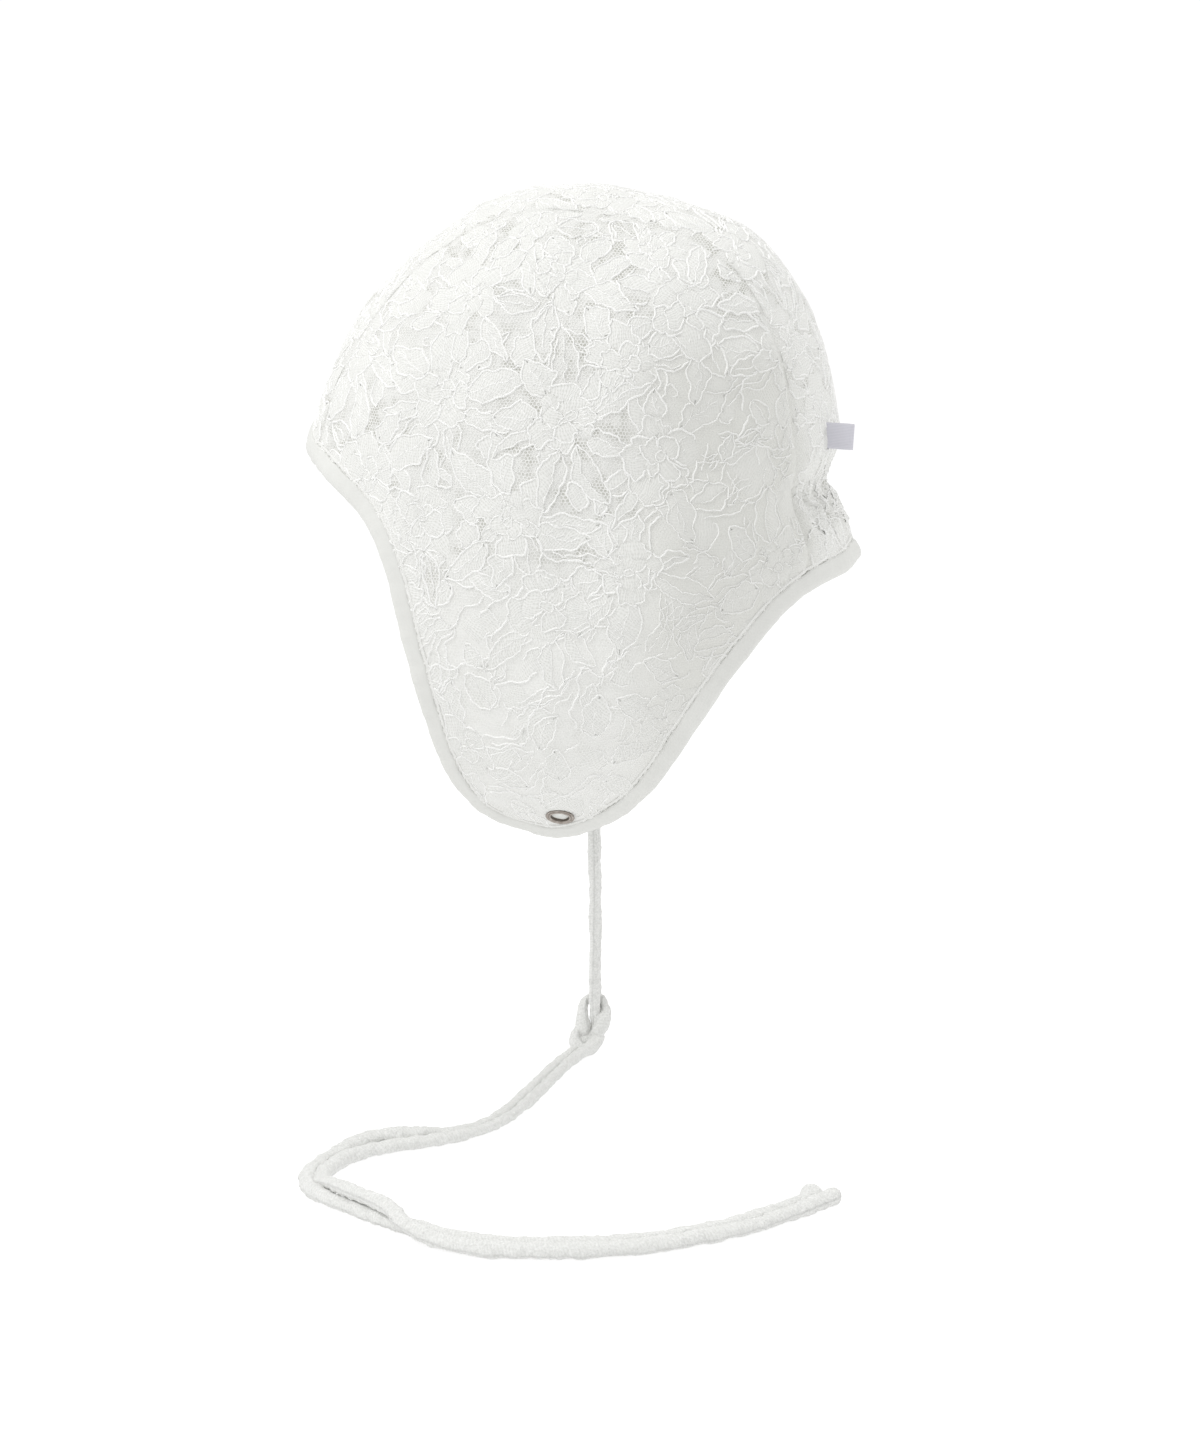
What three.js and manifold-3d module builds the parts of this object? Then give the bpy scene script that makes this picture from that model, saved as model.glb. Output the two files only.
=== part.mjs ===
// Aviator hat for a baby: lace over a smooth lining, ear flaps, bound edge, eyelets and one tie.
// Millimetres, +Z up. The face looks along -Y and the wearer's left is +X.
// The origin is the top of the hollow, where the crown of the head meets the lining.

import * as THREE from 'three';
import { mergeVertices } from 'three/addons/utils/BufferGeometryUtils.js';
import Module from 'manifold-3d';

const wasm = await Module();
wasm.setup();

const toRad = THREE.MathUtils.degToRad;
const toDeg = THREE.MathUtils.radToDeg;
const Vec = THREE.Vector3;

// ---------- driving dimensions

const GAP = 0.3;               // clearance between pieces
const LACE = 1.1;              // thickness of the lace
const LINING = 1.1;            // thickness of the lining
const CLOTH = LACE + GAP + LINING;

const HALF_BREADTH = 66;       // from the middle plane to the ear, outside
const SIDE_POWER = 2.2;        // fullness of the side, towards the ear

// The head form in the middle plane, as a distance from the axis through both ears.
// The angle is 0 towards the face, 90 at the crown and 180 at the back of the head.
// The turn says how late the side curls in towards the middle plane: 2 would be an ellipse.
const PROFILE = [
  { angle: -90, radius: 123.5, turn: 3.2 },   // under the jaw
  { angle: -75, radius: 119.5, turn: 3 },
  { angle: -60, radius: 108, turn: 2.8 },
  { angle: -30, radius: 91, turn: 2.4 },
  { angle: 0, radius: 82, turn: 2.2 },   // edge at the forehead
  { angle: 20, radius: 76.7, turn: 2.2 },
  { angle: 38, radius: 74, turn: 2.2 },
  { angle: 56, radius: 72.6, turn: 2.2 },
  { angle: 66, radius: 73.1, turn: 2.2 },
  { angle: 78, radius: 72.5, turn: 2.2 },
  { angle: 90, radius: 71.6, turn: 2.2 },
  { angle: 101, radius: 71.2, turn: 2.2 },
  { angle: 112, radius: 72.4, turn: 2.2 },
  { angle: 126, radius: 74, turn: 2.2 },
  { angle: 140, radius: 74.8, turn: 2.2 },
  { angle: 160, radius: 73, turn: 2.2 },
  { angle: 180, radius: 73, turn: 2.2 },
  { angle: 192, radius: 75.5, turn: 2.3 },
  { angle: 200, radius: 82, turn: 2.4 },
  { angle: 206, radius: 88.5, turn: 2.4 },   // edge at the nape
  { angle: 216, radius: 95, turn: 2.5 },
  { angle: 240, radius: 111, turn: 2.8 },
];

// The edge of the cloth on one side, from the forehead round the flap to the nape.
// The spread is 0 at the ear and 90 in the middle plane.
const EDGE = [
  { angle: 0, spread: 90 },      // middle of the forehead
  { angle: -3.2, spread: 73.5 },
  { angle: -9.5, spread: 53.3 },
  { angle: -19, spread: 42.6 },
  { angle: -31, spread: 37.1 },
  { angle: -43.5, spread: 36.4 },
  { angle: -54.8, spread: 40 },
  { angle: -63.3, spread: 47.5 },
  { angle: -70, spread: 57 },
  { angle: -77, spread: 64.7 },  // front corner of the flap
  { angle: -87, spread: 63.6 },
  { angle: -95, spread: 59.5 },
  { angle: -103.4, spread: 51.7 },
  { angle: -111.8, spread: 45 },
  { angle: -121.5, spread: 41.8 },
  { angle: -133, spread: 43.9 },
  { angle: -143, spread: 50 },
  { angle: -150, spread: 59.5 },
  { angle: -154, spread: 75 },
  { angle: -155.6, spread: 90 }, // middle of the nape
];

// Half the width of the centre strip, over the crown.
const STRIP = [
  { angle: -10, half: 33.5 },
  { angle: 90, half: 34 },
  { angle: 170, half: 36.5 },
  { angle: 195, half: 37 },
  { angle: 214, half: 40.5 },
];

// The nape drawn in by its elastic: how far the cloth stands in or out along the middle line.
const NAPE = [
  { angle: 174, lift: 0, pucker: 0 },
  { angle: 181, lift: 0.6, pucker: 0.15 },
  { angle: 185, lift: -1, pucker: 0.4 },
  { angle: 188, lift: -3, pucker: 0.7 },       // pinch above the casing
  { angle: 190.5, lift: -4, pucker: 0.9 },
  { angle: 193, lift: -2, pucker: 1 },
  { angle: 195.5, lift: -1, pucker: 1 },       // casing of the elastic
  { angle: 198, lift: 0, pucker: 0.6 },
  { angle: 200.5, lift: 0, pucker: 0 },        // smooth band below it
];
const NAPE_SLOPE = 5;          // degrees that the casing drops on its way to the seam
const PUCKER_DEPTH = 0.9;
const PUCKER_PITCH = 8.5;
const PUCKER_FADE = { from: 28, to: 47 };
const PUCKER_DRIFT = { depth: 0.8, across: 7, down: 4 };   // the gathers are not quite even

const HEM = 4.2;               // the cloth is straight for this far inside its edge
const BINDING = { wall: 1, inside: 3.5, fold: 0.4, play: 0.45, corner: 0.3 };

const EYELET = {
  angle: -88.4,
  inset: 11,                   // from the edge of the cloth, along the flap
  hole: 2.2,
  barrel: 2.6,
  flange: 4.1,
  washer: 3.9,
  plate: 0.45,
  dome: 0.8,
  lip: 0.5,
  shoulder: 0.7,
  seat: 0.7,                   // the washer lies across the curve of the lining
};

const LABEL = { top: 176.9, bottom: 182.8, x: 18.5, out: 7.4, leaf: 0.5, slit: 0.4, seat: 0.7 };

const CORD = 3.8;              // diameter of the tie where it lies
const CORD_HUNG = 3.4;         // and where it hangs, drawn thinner
const PAIR = 2.2;              // from the middle of the two strands to each of them
const FLOOR = -267.6;          // what the tie's ends lie on
const KNOT = { x: -33, y: -3.2, z: -257.9, wide: 9.6, deep: 9.2, tall: 16, sides: 12 };

const COLOURS = {
  lace: 0xf0f0ec,
  lining: 0xe9e9e4,
  binding: 0xeeeee9,
  steel: 0x9a9a98,
  label: 0xcfced6,
  cord: 0xe8e8e2,
};

// ---------- tables and curves

// Reads a column of a table at any angle, smoothly, and holds the ends.
function column(rows, name, period = 0) {
  const first = rows[0].angle;
  const last = rows[rows.length - 1].angle;
  const at = (i) => {
    if (!period) return rows[Math.min(Math.max(i, 0), rows.length - 1)];
    const turn = Math.floor(i / rows.length);
    const row = rows[i - turn * rows.length];
    return { ...row, angle: row.angle + turn * period };
  };
  const slope = (i) => {
    const before = at(i - 1);
    const after = at(i + 1);
    return after.angle === before.angle ? 0 : (after[name] - before[name]) / (after.angle - before.angle);
  };
  return (angle) => {
    let a = angle;
    if (period) a = first + THREE.MathUtils.euclideanModulo(angle - first, period);
    else a = Math.min(Math.max(angle, first), last);
    let i = rows.length - 1;
    while (i > 0 && rows[i].angle > a) i -= 1;
    if (!period && i === rows.length - 1) i -= 1;
    const left = at(i);
    const right = at(i + 1);
    const step = right.angle - left.angle;
    const t = (a - left.angle) / step;
    const t2 = t * t;
    const t3 = t2 * t;
    return (2 * t3 - 3 * t2 + 1) * left[name] + (t3 - 2 * t2 + t) * step * slope(i)
      + (3 * t2 - 2 * t3) * right[name] + (t3 - t2) * step * slope(i + 1);
  };
}

const radiusAt = column(PROFILE, 'radius', 360);
const turnAt = column(PROFILE, 'turn', 360);
const stripHalfAt = column(STRIP, 'half');
const napeLiftAt = column(NAPE, 'lift');
const napePuckerAt = column(NAPE, 'pucker');

const EAR_Z = CLOTH - radiusAt(90);
const backAngle = (angle) => (angle < 0 ? angle + 360 : angle);

// ---------- the head form

// A spot names a place on the outer face: angle, spread, and side +1 or -1.
function headPoint(spot) {
  const x = HALF_BREADTH * Math.max(Math.cos(toRad(spot.spread)), 0) ** (2 / SIDE_POWER);
  const r = radiusAt(spot.angle) * Math.sin(toRad(spot.spread)) ** (2 / turnAt(spot.angle));
  const a = toRad(spot.angle);
  return new Vec(spot.side * x, -r * Math.cos(a), EAR_Z + r * Math.sin(a));
}

// The angle runs from -90 to 270, so that the crown has no break.
function angleOf(point) {
  const angle = toDeg(Math.atan2(point.z - EAR_Z, -point.y));
  return angle < -90 ? angle + 360 : angle;
}

function outsideness(point) {
  const r = Math.hypot(point.y, point.z - EAR_Z);
  const angle = angleOf(point);
  return (Math.abs(point.x) / HALF_BREADTH) ** SIDE_POWER + (r / radiusAt(angle)) ** turnAt(angle) - 1;
}

function headGradient(point) {
  const e = 0.01;
  const along = (axis) => {
    const step = new Vec().setComponent(axis, e);
    return (outsideness(point.clone().add(step)) - outsideness(point.clone().sub(step))) / (2 * e);
  };
  return new Vec(along(0), along(1), along(2));
}

const headNormal = (point) => headGradient(point).normalize();

// Brings a point that is near the form onto it.
function ontoHead(point) {
  const p = point.clone();
  for (let i = 0; i < 3; i += 1) {
    const g = headGradient(p);
    p.addScaledVector(g, -outsideness(p) / g.lengthSq());
  }
  return p;
}

function spotOf(point) {
  const part = Math.min(Math.abs(point.x) / HALF_BREADTH, 1);
  return {
    angle: angleOf(point),
    spread: toDeg(Math.acos(part ** (SIDE_POWER / 2))),
    side: point.x < 0 ? -1 : 1,
  };
}

const spotAcross = (angle, x) => ({ ...spotOf(new Vec(x, 0, 0)), angle });

// How far the gathers lift the cloth from the smooth form.
function gather(angle, x) {
  const fade = 1 - THREE.MathUtils.smoothstep(Math.abs(x), PUCKER_FADE.from, PUCKER_FADE.to);
  if (fade === 0) return 0;
  const a = angle - NAPE_SLOPE * (x / stripHalfAt(angle)) ** 2;
  const drift = PUCKER_DRIFT.depth * Math.sin(x / PUCKER_DRIFT.across + a / PUCKER_DRIFT.down);
  const wave = Math.cos((2 * Math.PI * x) / PUCKER_PITCH + drift);
  return fade * (napeLiftAt(a) + PUCKER_DEPTH * napePuckerAt(a) * wave);
}

function clothPoint(spot, depth) {
  const base = headPoint(spot);
  return base.clone().addScaledVector(headNormal(base), gather(spot.angle, base.x) - depth);
}

// ---------- the edge, from the middle of the forehead to the middle of the nape

// A spot laid on a flat disc round the ear, where the edge and the rings are drawn.
const discOf = (spot) => new Vec(
  spot.spread * Math.cos(toRad(spot.angle)),
  spot.spread * Math.sin(toRad(spot.angle)),
  0,
);
const spotOfDisc = (p, side) => {
  const angle = toDeg(Math.atan2(p.y, p.x));
  return { angle: angle < -90 ? angle + 360 : angle, spread: p.length(), side };
};

const mirrorRow = (row) => ({ angle: row.angle, spread: 180 - row.spread });
const edgeRows = [mirrorRow(EDGE[1]), ...EDGE, mirrorRow(EDGE[EDGE.length - 2])];
const edgeDisc = new THREE.CatmullRomCurve3(edgeRows.map(discOf), false, 'centripetal');

// t is 0 at the forehead and 1 at the nape.
function edgeSpot(t, side) {
  const spans = edgeRows.length - 1;
  const p = edgeDisc.getPoint((1 + t * (spans - 2)) / spans);
  const angle = toDeg(Math.atan2(p.y, p.x));
  return { angle, spread: Math.min(p.length(), 90), side };
}

const edgePoint = (t, side) => headPoint(edgeSpot(t, side));

// Finds where the edge leaves the middle plane by more than a reach, from either end. The reach
// is a function of the angle.
function edgeWhere(reachAt, end) {
  let near = end;
  let far = end === 0 ? 0.3 : 0.7;
  for (let i = 0; i < 40; i += 1) {
    const t = (near + far) / 2;
    const { angle } = edgeSpot(t, 1);
    if (edgePoint(t, 1).x < reachAt(end === 0 ? angle : backAngle(angle))) near = t;
    else far = t;
  }
  return (near + far) / 2;
}

const CORNER_FRONT = edgeWhere(stripHalfAt, 0);
const CORNER_BACK = edgeWhere(stripHalfAt, 1);

// The edge's angle at a distance from the middle plane: 0 is the forehead's end, 1 the nape's.
function edgeAngleAt(x, end) {
  if (Math.abs(x) < 1e-6) return end === 0 ? EDGE[0].angle : backAngle(EDGE[EDGE.length - 1].angle);
  const { angle } = edgeSpot(edgeWhere(() => Math.abs(x), end), 1);
  return end === 0 ? angle : backAngle(angle);
}

// ---------- sheets: spots joined by triangles

function newSheet() {
  return { spots: [], faces: [] };
}

// Joins two rows of spots that may have different counts.
function zip(sheet, rowA, rowB, closed) {
  const a = closed ? [...rowA, rowA[0]] : rowA;
  const b = closed ? [...rowB, rowB[0]] : rowB;
  let i = 0;
  let j = 0;
  while (i < a.length - 1 || j < b.length - 1) {
    const nextA = (i + 1) / (a.length - 1);
    const nextB = (j + 1) / (b.length - 1);
    const stepA = j === b.length - 1 || (i < a.length - 1 && nextA <= nextB);
    if (stepA) {
      sheet.faces.push([a[i], a[i + 1], b[j]]);
      i += 1;
    } else {
      sheet.faces.push([a[i], b[j + 1], b[j]]);
      j += 1;
    }
  }
}

function addRow(sheet, spots) {
  const start = sheet.spots.length;
  sheet.spots.push(...spots);
  return spots.map((spot, i) => start + i);
}

// Rows of the centre strip, by their angle on the middle line.
const COARSE = 8;
const FINE = 28;
const NAPE_EDGE = backAngle(EDGE[EDGE.length - 1].angle);
const HEM_TURN = 3.1;
const CROWN_ROWS = 13;
const CROWN_END = 172;
const STRIP_ROWS = [
  { angle: 0, cells: COARSE },
  ...Array.from({ length: CROWN_ROWS + 1 }, (_, i) => (
    { angle: HEM_TURN + (i * (CROWN_END - HEM_TURN)) / CROWN_ROWS, cells: COARSE }
  )),
  ...[178.5, 183.5, 187, 189.5, 192, 194.5, 197, 199.5].map((angle) => ({ angle, cells: FINE })),
  { angle: NAPE_EDGE - HEM_TURN, cells: COARSE },
  { angle: NAPE_EDGE, cells: COARSE },
];

// A row keeps its share of the way from the forehead's edge to the nape's edge.
function stripSpot(rowAngle, across, inset = 0) {
  const part = rowAngle / NAPE_EDGE;
  let angle = rowAngle;
  let x = 0;
  for (let i = 0; i < 8; i += 1) {
    x = across * (stripHalfAt(angle) - inset);
    angle = (1 - part) * edgeAngleAt(x, 0) + part * edgeAngleAt(x, 1);
  }
  return spotAcross(angle, x);
}

function stripSheet(inset) {
  const sheet = newSheet();
  const rows = STRIP_ROWS.map(({ angle, cells }) => {
    const columns = Array.from({ length: cells + 1 }, (_, i) => (2 * i) / cells - 1);
    return addRow(sheet, columns.map((across) => stripSpot(angle, across, inset)));
  });
  for (let i = 0; i + 1 < rows.length; i += 1) zip(sheet, rows[i], rows[i + 1], false);
  return sheet;
}

const FLAP_POINTS = 42;
const SIDE_RINGS = [
  { part: 0.17, cells: 9 },
  { part: 0.34, cells: 17 },
  { part: 0.51, cells: 25 },
  { part: 0.68, cells: 34 },
  { part: 0.85, cells: 45 },
];

// Spots along the edge of one flap, evenly spaced, from the forehead's corner to the nape's.
function flapEdge(side) {
  const samples = 600;
  const ts = Array.from({ length: samples + 1 }, (_, i) => (
    CORNER_FRONT + (i * (CORNER_BACK - CORNER_FRONT)) / samples
  ));
  const lengths = [0];
  for (let i = 1; i <= samples; i += 1) {
    lengths.push(lengths[i - 1] + edgePoint(ts[i], side).distanceTo(edgePoint(ts[i - 1], side)));
  }
  return Array.from({ length: FLAP_POINTS + 1 }, (_, k) => {
    const want = (k / FLAP_POINTS) * lengths[samples];
    const i = lengths.findIndex((length) => length >= want - 1e-9);
    return edgeSpot(ts[i], side);
  });
}

// A side panel is a fan of rings round the ear, out to the seam and the flap's edge.
function sideSheet(side, inset) {
  const sheet = newSheet();
  const seam = STRIP_ROWS.map(({ angle }) => stripSpot(angle, side, -inset)).reverse();
  const rim = flapEdge(side);
  const border = [seam[seam.length - 1], ...rim.slice(1, -1), ...seam.slice(0, -1)];
  const count = border.length;
  const points = border.map(headPoint);
  const inner = border.map((spot, i) => {
    const after = points[(i + 1) % count];
    const before = points[(i + count - 1) % count];
    const along = after.clone().sub(before).normalize();
    const normal = headNormal(points[i]);
    const inward = new Vec().crossVectors(normal, along);
    const ear = new Vec(side * HALF_BREADTH, 0, EAR_Z).sub(points[i]);
    if (inward.dot(ear) < 0) inward.negate();
    return spotOf(ontoHead(points[i].clone().addScaledVector(inward.normalize(), HEM)));
  });
  const innerDisc = inner.map(discOf);
  const ringAt = (part, cells) => Array.from({ length: cells }, (_, k) => {
    const place = (k * count) / cells;
    const i = Math.floor(place);
    const p = innerDisc[i].clone().lerp(innerDisc[(i + 1) % count], place - i).multiplyScalar(part);
    return spotOfDisc(p, side);
  });
  const rings = [
    addRow(sheet, [{ angle: 0, spread: 0, side }]),
    ...SIDE_RINGS.map(({ part, cells }) => addRow(sheet, ringAt(part, cells))),
    addRow(sheet, inner),
    addRow(sheet, border),
  ];
  rings[1].forEach((spot, i) => {
    sheet.faces.push([rings[0][0], spot, rings[1][(i + 1) % rings[1].length]]);
  });
  for (let i = 1; i + 1 < rings.length; i += 1) zip(sheet, rings[i], rings[i + 1], true);
  return sheet;
}

// Joins sheets whose borders share spots.
function joinSheets(sheets) {
  const joined = newSheet();
  const known = new Map();
  sheets.forEach((sheet) => {
    const ids = sheet.spots.map((spot) => {
      const key = headPoint(spot).toArray().map((v) => Math.round(v * 500)).join();
      if (!known.has(key)) {
        known.set(key, joined.spots.length);
        joined.spots.push(spot);
      }
      return known.get(key);
    });
    sheet.faces.forEach((face) => joined.faces.push(face.map((i) => ids[i])));
  });
  return joined;
}

// ---------- closed solids

function geometryOf(points, triangles) {
  const geometry = new THREE.BufferGeometry();
  geometry.setAttribute('position', new THREE.Float32BufferAttribute(points.flatMap((p) => p.toArray()), 3));
  geometry.setIndex(triangles.flat());
  return geometry;
}

// Thickens a sheet between two depths below the outer face.
function wall(sheet, outerDepth, innerDepth) {
  const count = sheet.spots.length;
  const points = [
    ...sheet.spots.map((spot) => clothPoint(spot, outerDepth)),
    ...sheet.spots.map((spot) => clothPoint(spot, innerDepth)),
  ];
  const faces = sheet.faces.filter((f) => new Set(f).size === 3).map(([a, b, c]) => {
    const turn = new Vec().crossVectors(
      points[b].clone().sub(points[a]),
      points[c].clone().sub(points[a]),
    );
    return turn.dot(headNormal(points[a])) > 0 ? [a, b, c] : [a, c, b];
  });
  const open = new Map();
  faces.forEach(([a, b, c]) => {
    [[a, b], [b, c], [c, a]].forEach(([from, to]) => {
      if (!open.delete(`${to},${from}`)) open.set(`${from},${to}`, [from, to]);
    });
  });
  const triangles = [...faces, ...faces.map(([a, b, c]) => [a + count, c + count, b + count])];
  open.forEach(([from, to]) => {
    triangles.push([from, from + count, to + count], [from, to + count, to]);
  });
  return geometryOf(points, triangles);
}

function toManifold(geometry) {
  const bare = geometry.clone();
  bare.deleteAttribute('normal');
  bare.deleteAttribute('uv');
  const merged = mergeVertices(bare, 1e-4);
  return new wasm.Manifold(new wasm.Mesh({
    numProp: 3,
    vertProperties: new Float32Array(merged.attributes.position.array),
    triVerts: new Uint32Array(merged.index.array),
  }));
}

function fromManifold(solid) {
  const mesh = solid.getMesh();
  const geometry = new THREE.BufferGeometry();
  geometry.setAttribute('position', new THREE.BufferAttribute(mesh.vertProperties, 3));
  geometry.setIndex(new THREE.BufferAttribute(mesh.triVerts, 1));
  return geometry;
}

function cut(geometry, tools) {
  return fromManifold(tools.reduce((solid, tool) => solid.subtract(toManifold(tool)), toManifold(geometry)));
}

function signedVolume(geometry) {
  const p = geometry.attributes.position;
  const at = (i) => new Vec().fromBufferAttribute(p, geometry.index.getX(i));
  let sum = 0;
  for (let i = 0; i < geometry.index.count; i += 3) sum += at(i).dot(at(i + 1).cross(at(i + 2)));
  return sum / 6;
}

// A closed profile turned round an axis that starts at a place and runs along a direction.
function turned(profile, sides, place, direction) {
  const points = profile.map(([radius, height]) => new THREE.Vector2(radius, height));
  const lathe = new THREE.LatheGeometry([...points, points[0]], sides);
  lathe.deleteAttribute('normal');
  lathe.deleteAttribute('uv');
  const geometry = mergeVertices(lathe, 1e-4);
  const spin = new THREE.Quaternion().setFromUnitVectors(new Vec(0, 1, 0), direction);
  geometry.applyMatrix4(new THREE.Matrix4().compose(place, spin, new Vec(1, 1, 1)));
  if (signedVolume(geometry) < 0) geometry.setIndex([...geometry.index.array].reverse());
  return geometry;
}

// ---------- eyelets

const EYELET_SIDES = 14;

function eyeletSeat(side) {
  let t = 0.5;
  for (let near = CORNER_FRONT, far = CORNER_BACK, i = 0; i < 40; i += 1) {
    t = (near + far) / 2;
    if (edgeSpot(t, side).angle > EYELET.angle) near = t;
    else far = t;
  }
  const edge = edgePoint(t, side);
  const ear = new Vec(side * HALF_BREADTH, 0, EAR_Z).sub(edge);
  const normal = headNormal(edge);
  const inward = ear.addScaledVector(normal, -ear.dot(normal)).normalize();
  const place = ontoHead(edge.addScaledVector(inward, EYELET.inset));
  return { place, direction: headNormal(place) };
}

function eyeletHole(side) {
  const { place, direction } = eyeletSeat(side);
  const radius = EYELET.barrel + GAP;
  const reach = 2 * CLOTH;
  return turned([[0, -reach], [radius, -reach], [radius, reach], [0, reach]], EYELET_SIDES, place, direction);
}

function eyelet(side) {
  const { place, direction } = eyeletSeat(side);
  const { hole, barrel, flange, washer, plate, dome, lip, shoulder } = EYELET;
  const back = -CLOTH - EYELET.seat;
  const profile = [
    [hole, back - plate],
    [hole, GAP + plate],
    [hole + lip, GAP + dome],
    [flange - shoulder, GAP + dome],
    [flange, GAP + plate],
    [flange, GAP],
    [barrel, GAP],
    [barrel, back],
    [washer, back],
    [washer, back - plate],
  ];
  return turned(profile, EYELET_SIDES, place, direction);
}

// ---------- binding

// The whole edge of the cloth as one loop: left flap, nape, right flap, forehead.
function edgeLoop() {
  const columns = Array.from({ length: COARSE - 1 }, (_, i) => (2 * (i + 1)) / COARSE - 1);
  return [
    ...flapEdge(1),
    ...columns.map((across) => stripSpot(NAPE_EDGE, -across)),
    ...flapEdge(-1).reverse(),
    ...columns.map((across) => stripSpot(0, across)),
  ];
}

function binding() {
  const spots = edgeLoop();
  const count = spots.length;
  const points = spots.map((spot) => clothPoint(spot, 0));
  const half = CLOTH / 2 + BINDING.play;
  const outer = half + BINDING.wall;
  const { inside, fold, corner, wall: thick } = BINDING;
  const section = [
    [-inside, outer], [fold - corner, outer], [fold + thick, outer / 2], [fold + thick, -outer / 2],
    [fold - corner, -outer], [-inside, -outer], [-inside, -half], [fold, -half], [fold, half], [-inside, half],
  ];
  const vertices = points.flatMap((point, i) => {
    const along = points[(i + 1) % count].clone().sub(points[(i + count - 1) % count]).normalize();
    const normal = headNormal(point);
    const inward = new Vec().crossVectors(normal, along).normalize();
    const chord = ontoHead(point.clone().addScaledVector(inward, HEM)).sub(point);
    chord.addScaledVector(along, -chord.dot(along)).normalize();
    const up = new Vec().crossVectors(along, chord).normalize();
    if (up.dot(normal) < 0) up.negate();
    const middle = point.clone().addScaledVector(up, -CLOTH / 2);
    return section.map(([out, high]) => (
      middle.clone().addScaledVector(chord, -out).addScaledVector(up, high)
    ));
  });
  const size = section.length;
  const triangles = [];
  for (let i = 0; i < count; i += 1) {
    for (let k = 0; k < size; k += 1) {
      const a = i * size + k;
      const b = i * size + ((k + 1) % size);
      const c = ((i + 1) % count) * size + k;
      const d = ((i + 1) % count) * size + ((k + 1) % size);
      triangles.push([a, c, d], [a, d, b]);
    }
  }
  const geometry = geometryOf(vertices, triangles);
  if (signedVolume(geometry) < 0) geometry.setIndex([...geometry.index.array].reverse());
  return geometry;
}

// ---------- label

// A ribbon folded in two, its ends on the cloth and its fold outwards. It is drawn flat, from 0
// to 1 in height, and its inner edge is then laid along the cloth.
function labelTag() {
  const [bottom, top] = [LABEL.bottom, LABEL.top].map((angle) => clothPoint(spotAcross(angle, LABEL.x), -LABEL.seat));
  const half = LABEL.slit / 2;
  const bend = LABEL.out - half - LABEL.leaf;
  const outline = new THREE.Shape();
  outline.moveTo(0, half);
  outline.lineTo(0, half + LABEL.leaf);
  outline.lineTo(bend, half + LABEL.leaf);
  outline.absarc(bend, 0, half + LABEL.leaf, Math.PI / 2, -Math.PI / 2, true);
  outline.lineTo(0, -half - LABEL.leaf);
  outline.lineTo(0, -half);
  outline.lineTo(bend, -half);
  outline.absarc(bend, 0, half, -Math.PI / 2, Math.PI / 2, false);
  const drawn = new THREE.ExtrudeGeometry(outline, { depth: 1, bevelEnabled: false, curveSegments: 5 });
  drawn.deleteAttribute('normal');
  drawn.deleteAttribute('uv');
  const geometry = mergeVertices(drawn, 1e-4);
  const position = geometry.attributes.position;
  const fold = Math.max(bottom.y, top.y) + LABEL.out;
  for (let i = 0; i < position.count; i += 1) {
    const seat = bottom.clone().lerp(top, position.getZ(i));
    const out = position.getX(i) / LABEL.out;
    position.setXYZ(i, LABEL.x + position.getY(i), THREE.MathUtils.lerp(seat.y, fold, out), seat.z);
  }
  if (signedVolume(geometry) < 0) geometry.setIndex([...geometry.index.array].reverse());
  return geometry;
}

// ---------- tie

const CORD_SIDES = 8;

function cordTube(points, diameter, steps) {
  const section = new THREE.Shape();
  for (let i = 0; i < CORD_SIDES; i += 1) {
    const turn = (2 * Math.PI * i) / CORD_SIDES;
    const x = (diameter / 2) * Math.cos(turn);
    const y = (diameter / 2) * Math.sin(turn);
    if (i) section.lineTo(x, y);
    else section.moveTo(x, y);
  }
  const extrudePath = new THREE.CatmullRomCurve3(points, false, 'centripetal');
  const geometry = new THREE.ExtrudeGeometry(section, { steps, extrudePath, bevelEnabled: false });
  geometry.deleteAttribute('normal');
  geometry.deleteAttribute('uv');
  return mergeVertices(geometry, 1e-4);
}

// The tie's two hanging runs, measured from the top of the knot.
const RUN_OUTSIDE = [
  { x: -PAIR, y: 0, rise: 0 },
  { x: -PAIR - 0.6, y: 0, rise: 12 },
  { x: -PAIR - 2.4, y: 0.2, rise: 30 },
  { x: -PAIR - 4.6, y: 0.4, rise: 46 },
  { x: -PAIR - 5.4, y: 0.3, rise: 57 },
];
const RUN_INSIDE = [
  { x: PAIR + 6.5, y: 0.2, rise: 42 },
  { x: PAIR + 3, y: 0, rise: 26 },
  { x: PAIR + 0.8, y: 0, rise: 11 },
  { x: PAIR, y: 0, rise: 0 },
];
// The bend between them inside the flap, measured from the eyelet.
const BEND = [
  { x: 10, y: -0.4, rise: 5.6 },
  { x: 13.4, y: -0.6, rise: -0.5 },
  { x: 13, y: -0.6, rise: -9 },
];
const THROUGH = [-5, -1, CLOTH + 1, CLOTH + 4.5];   // depths along the eyelet's axis

// From the knot up outside the right flap, in through its eyelet and down inside to the knot.
function upperRoute() {
  const { place, direction } = eyeletSeat(-1);
  const top = new Vec(KNOT.x, KNOT.y, KNOT.z + KNOT.tall / 2 + GAP);
  const from = (start) => ({ x, y, rise }) => start.clone().add(new Vec(x, y, rise));
  return [
    ...RUN_OUTSIDE.map(from(top)),
    ...THROUGH.map((depth) => place.clone().addScaledVector(direction, -depth)),
    ...BEND.map(from(place)),
    ...RUN_INSIDE.map(from(top)),
  ];
}

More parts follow.
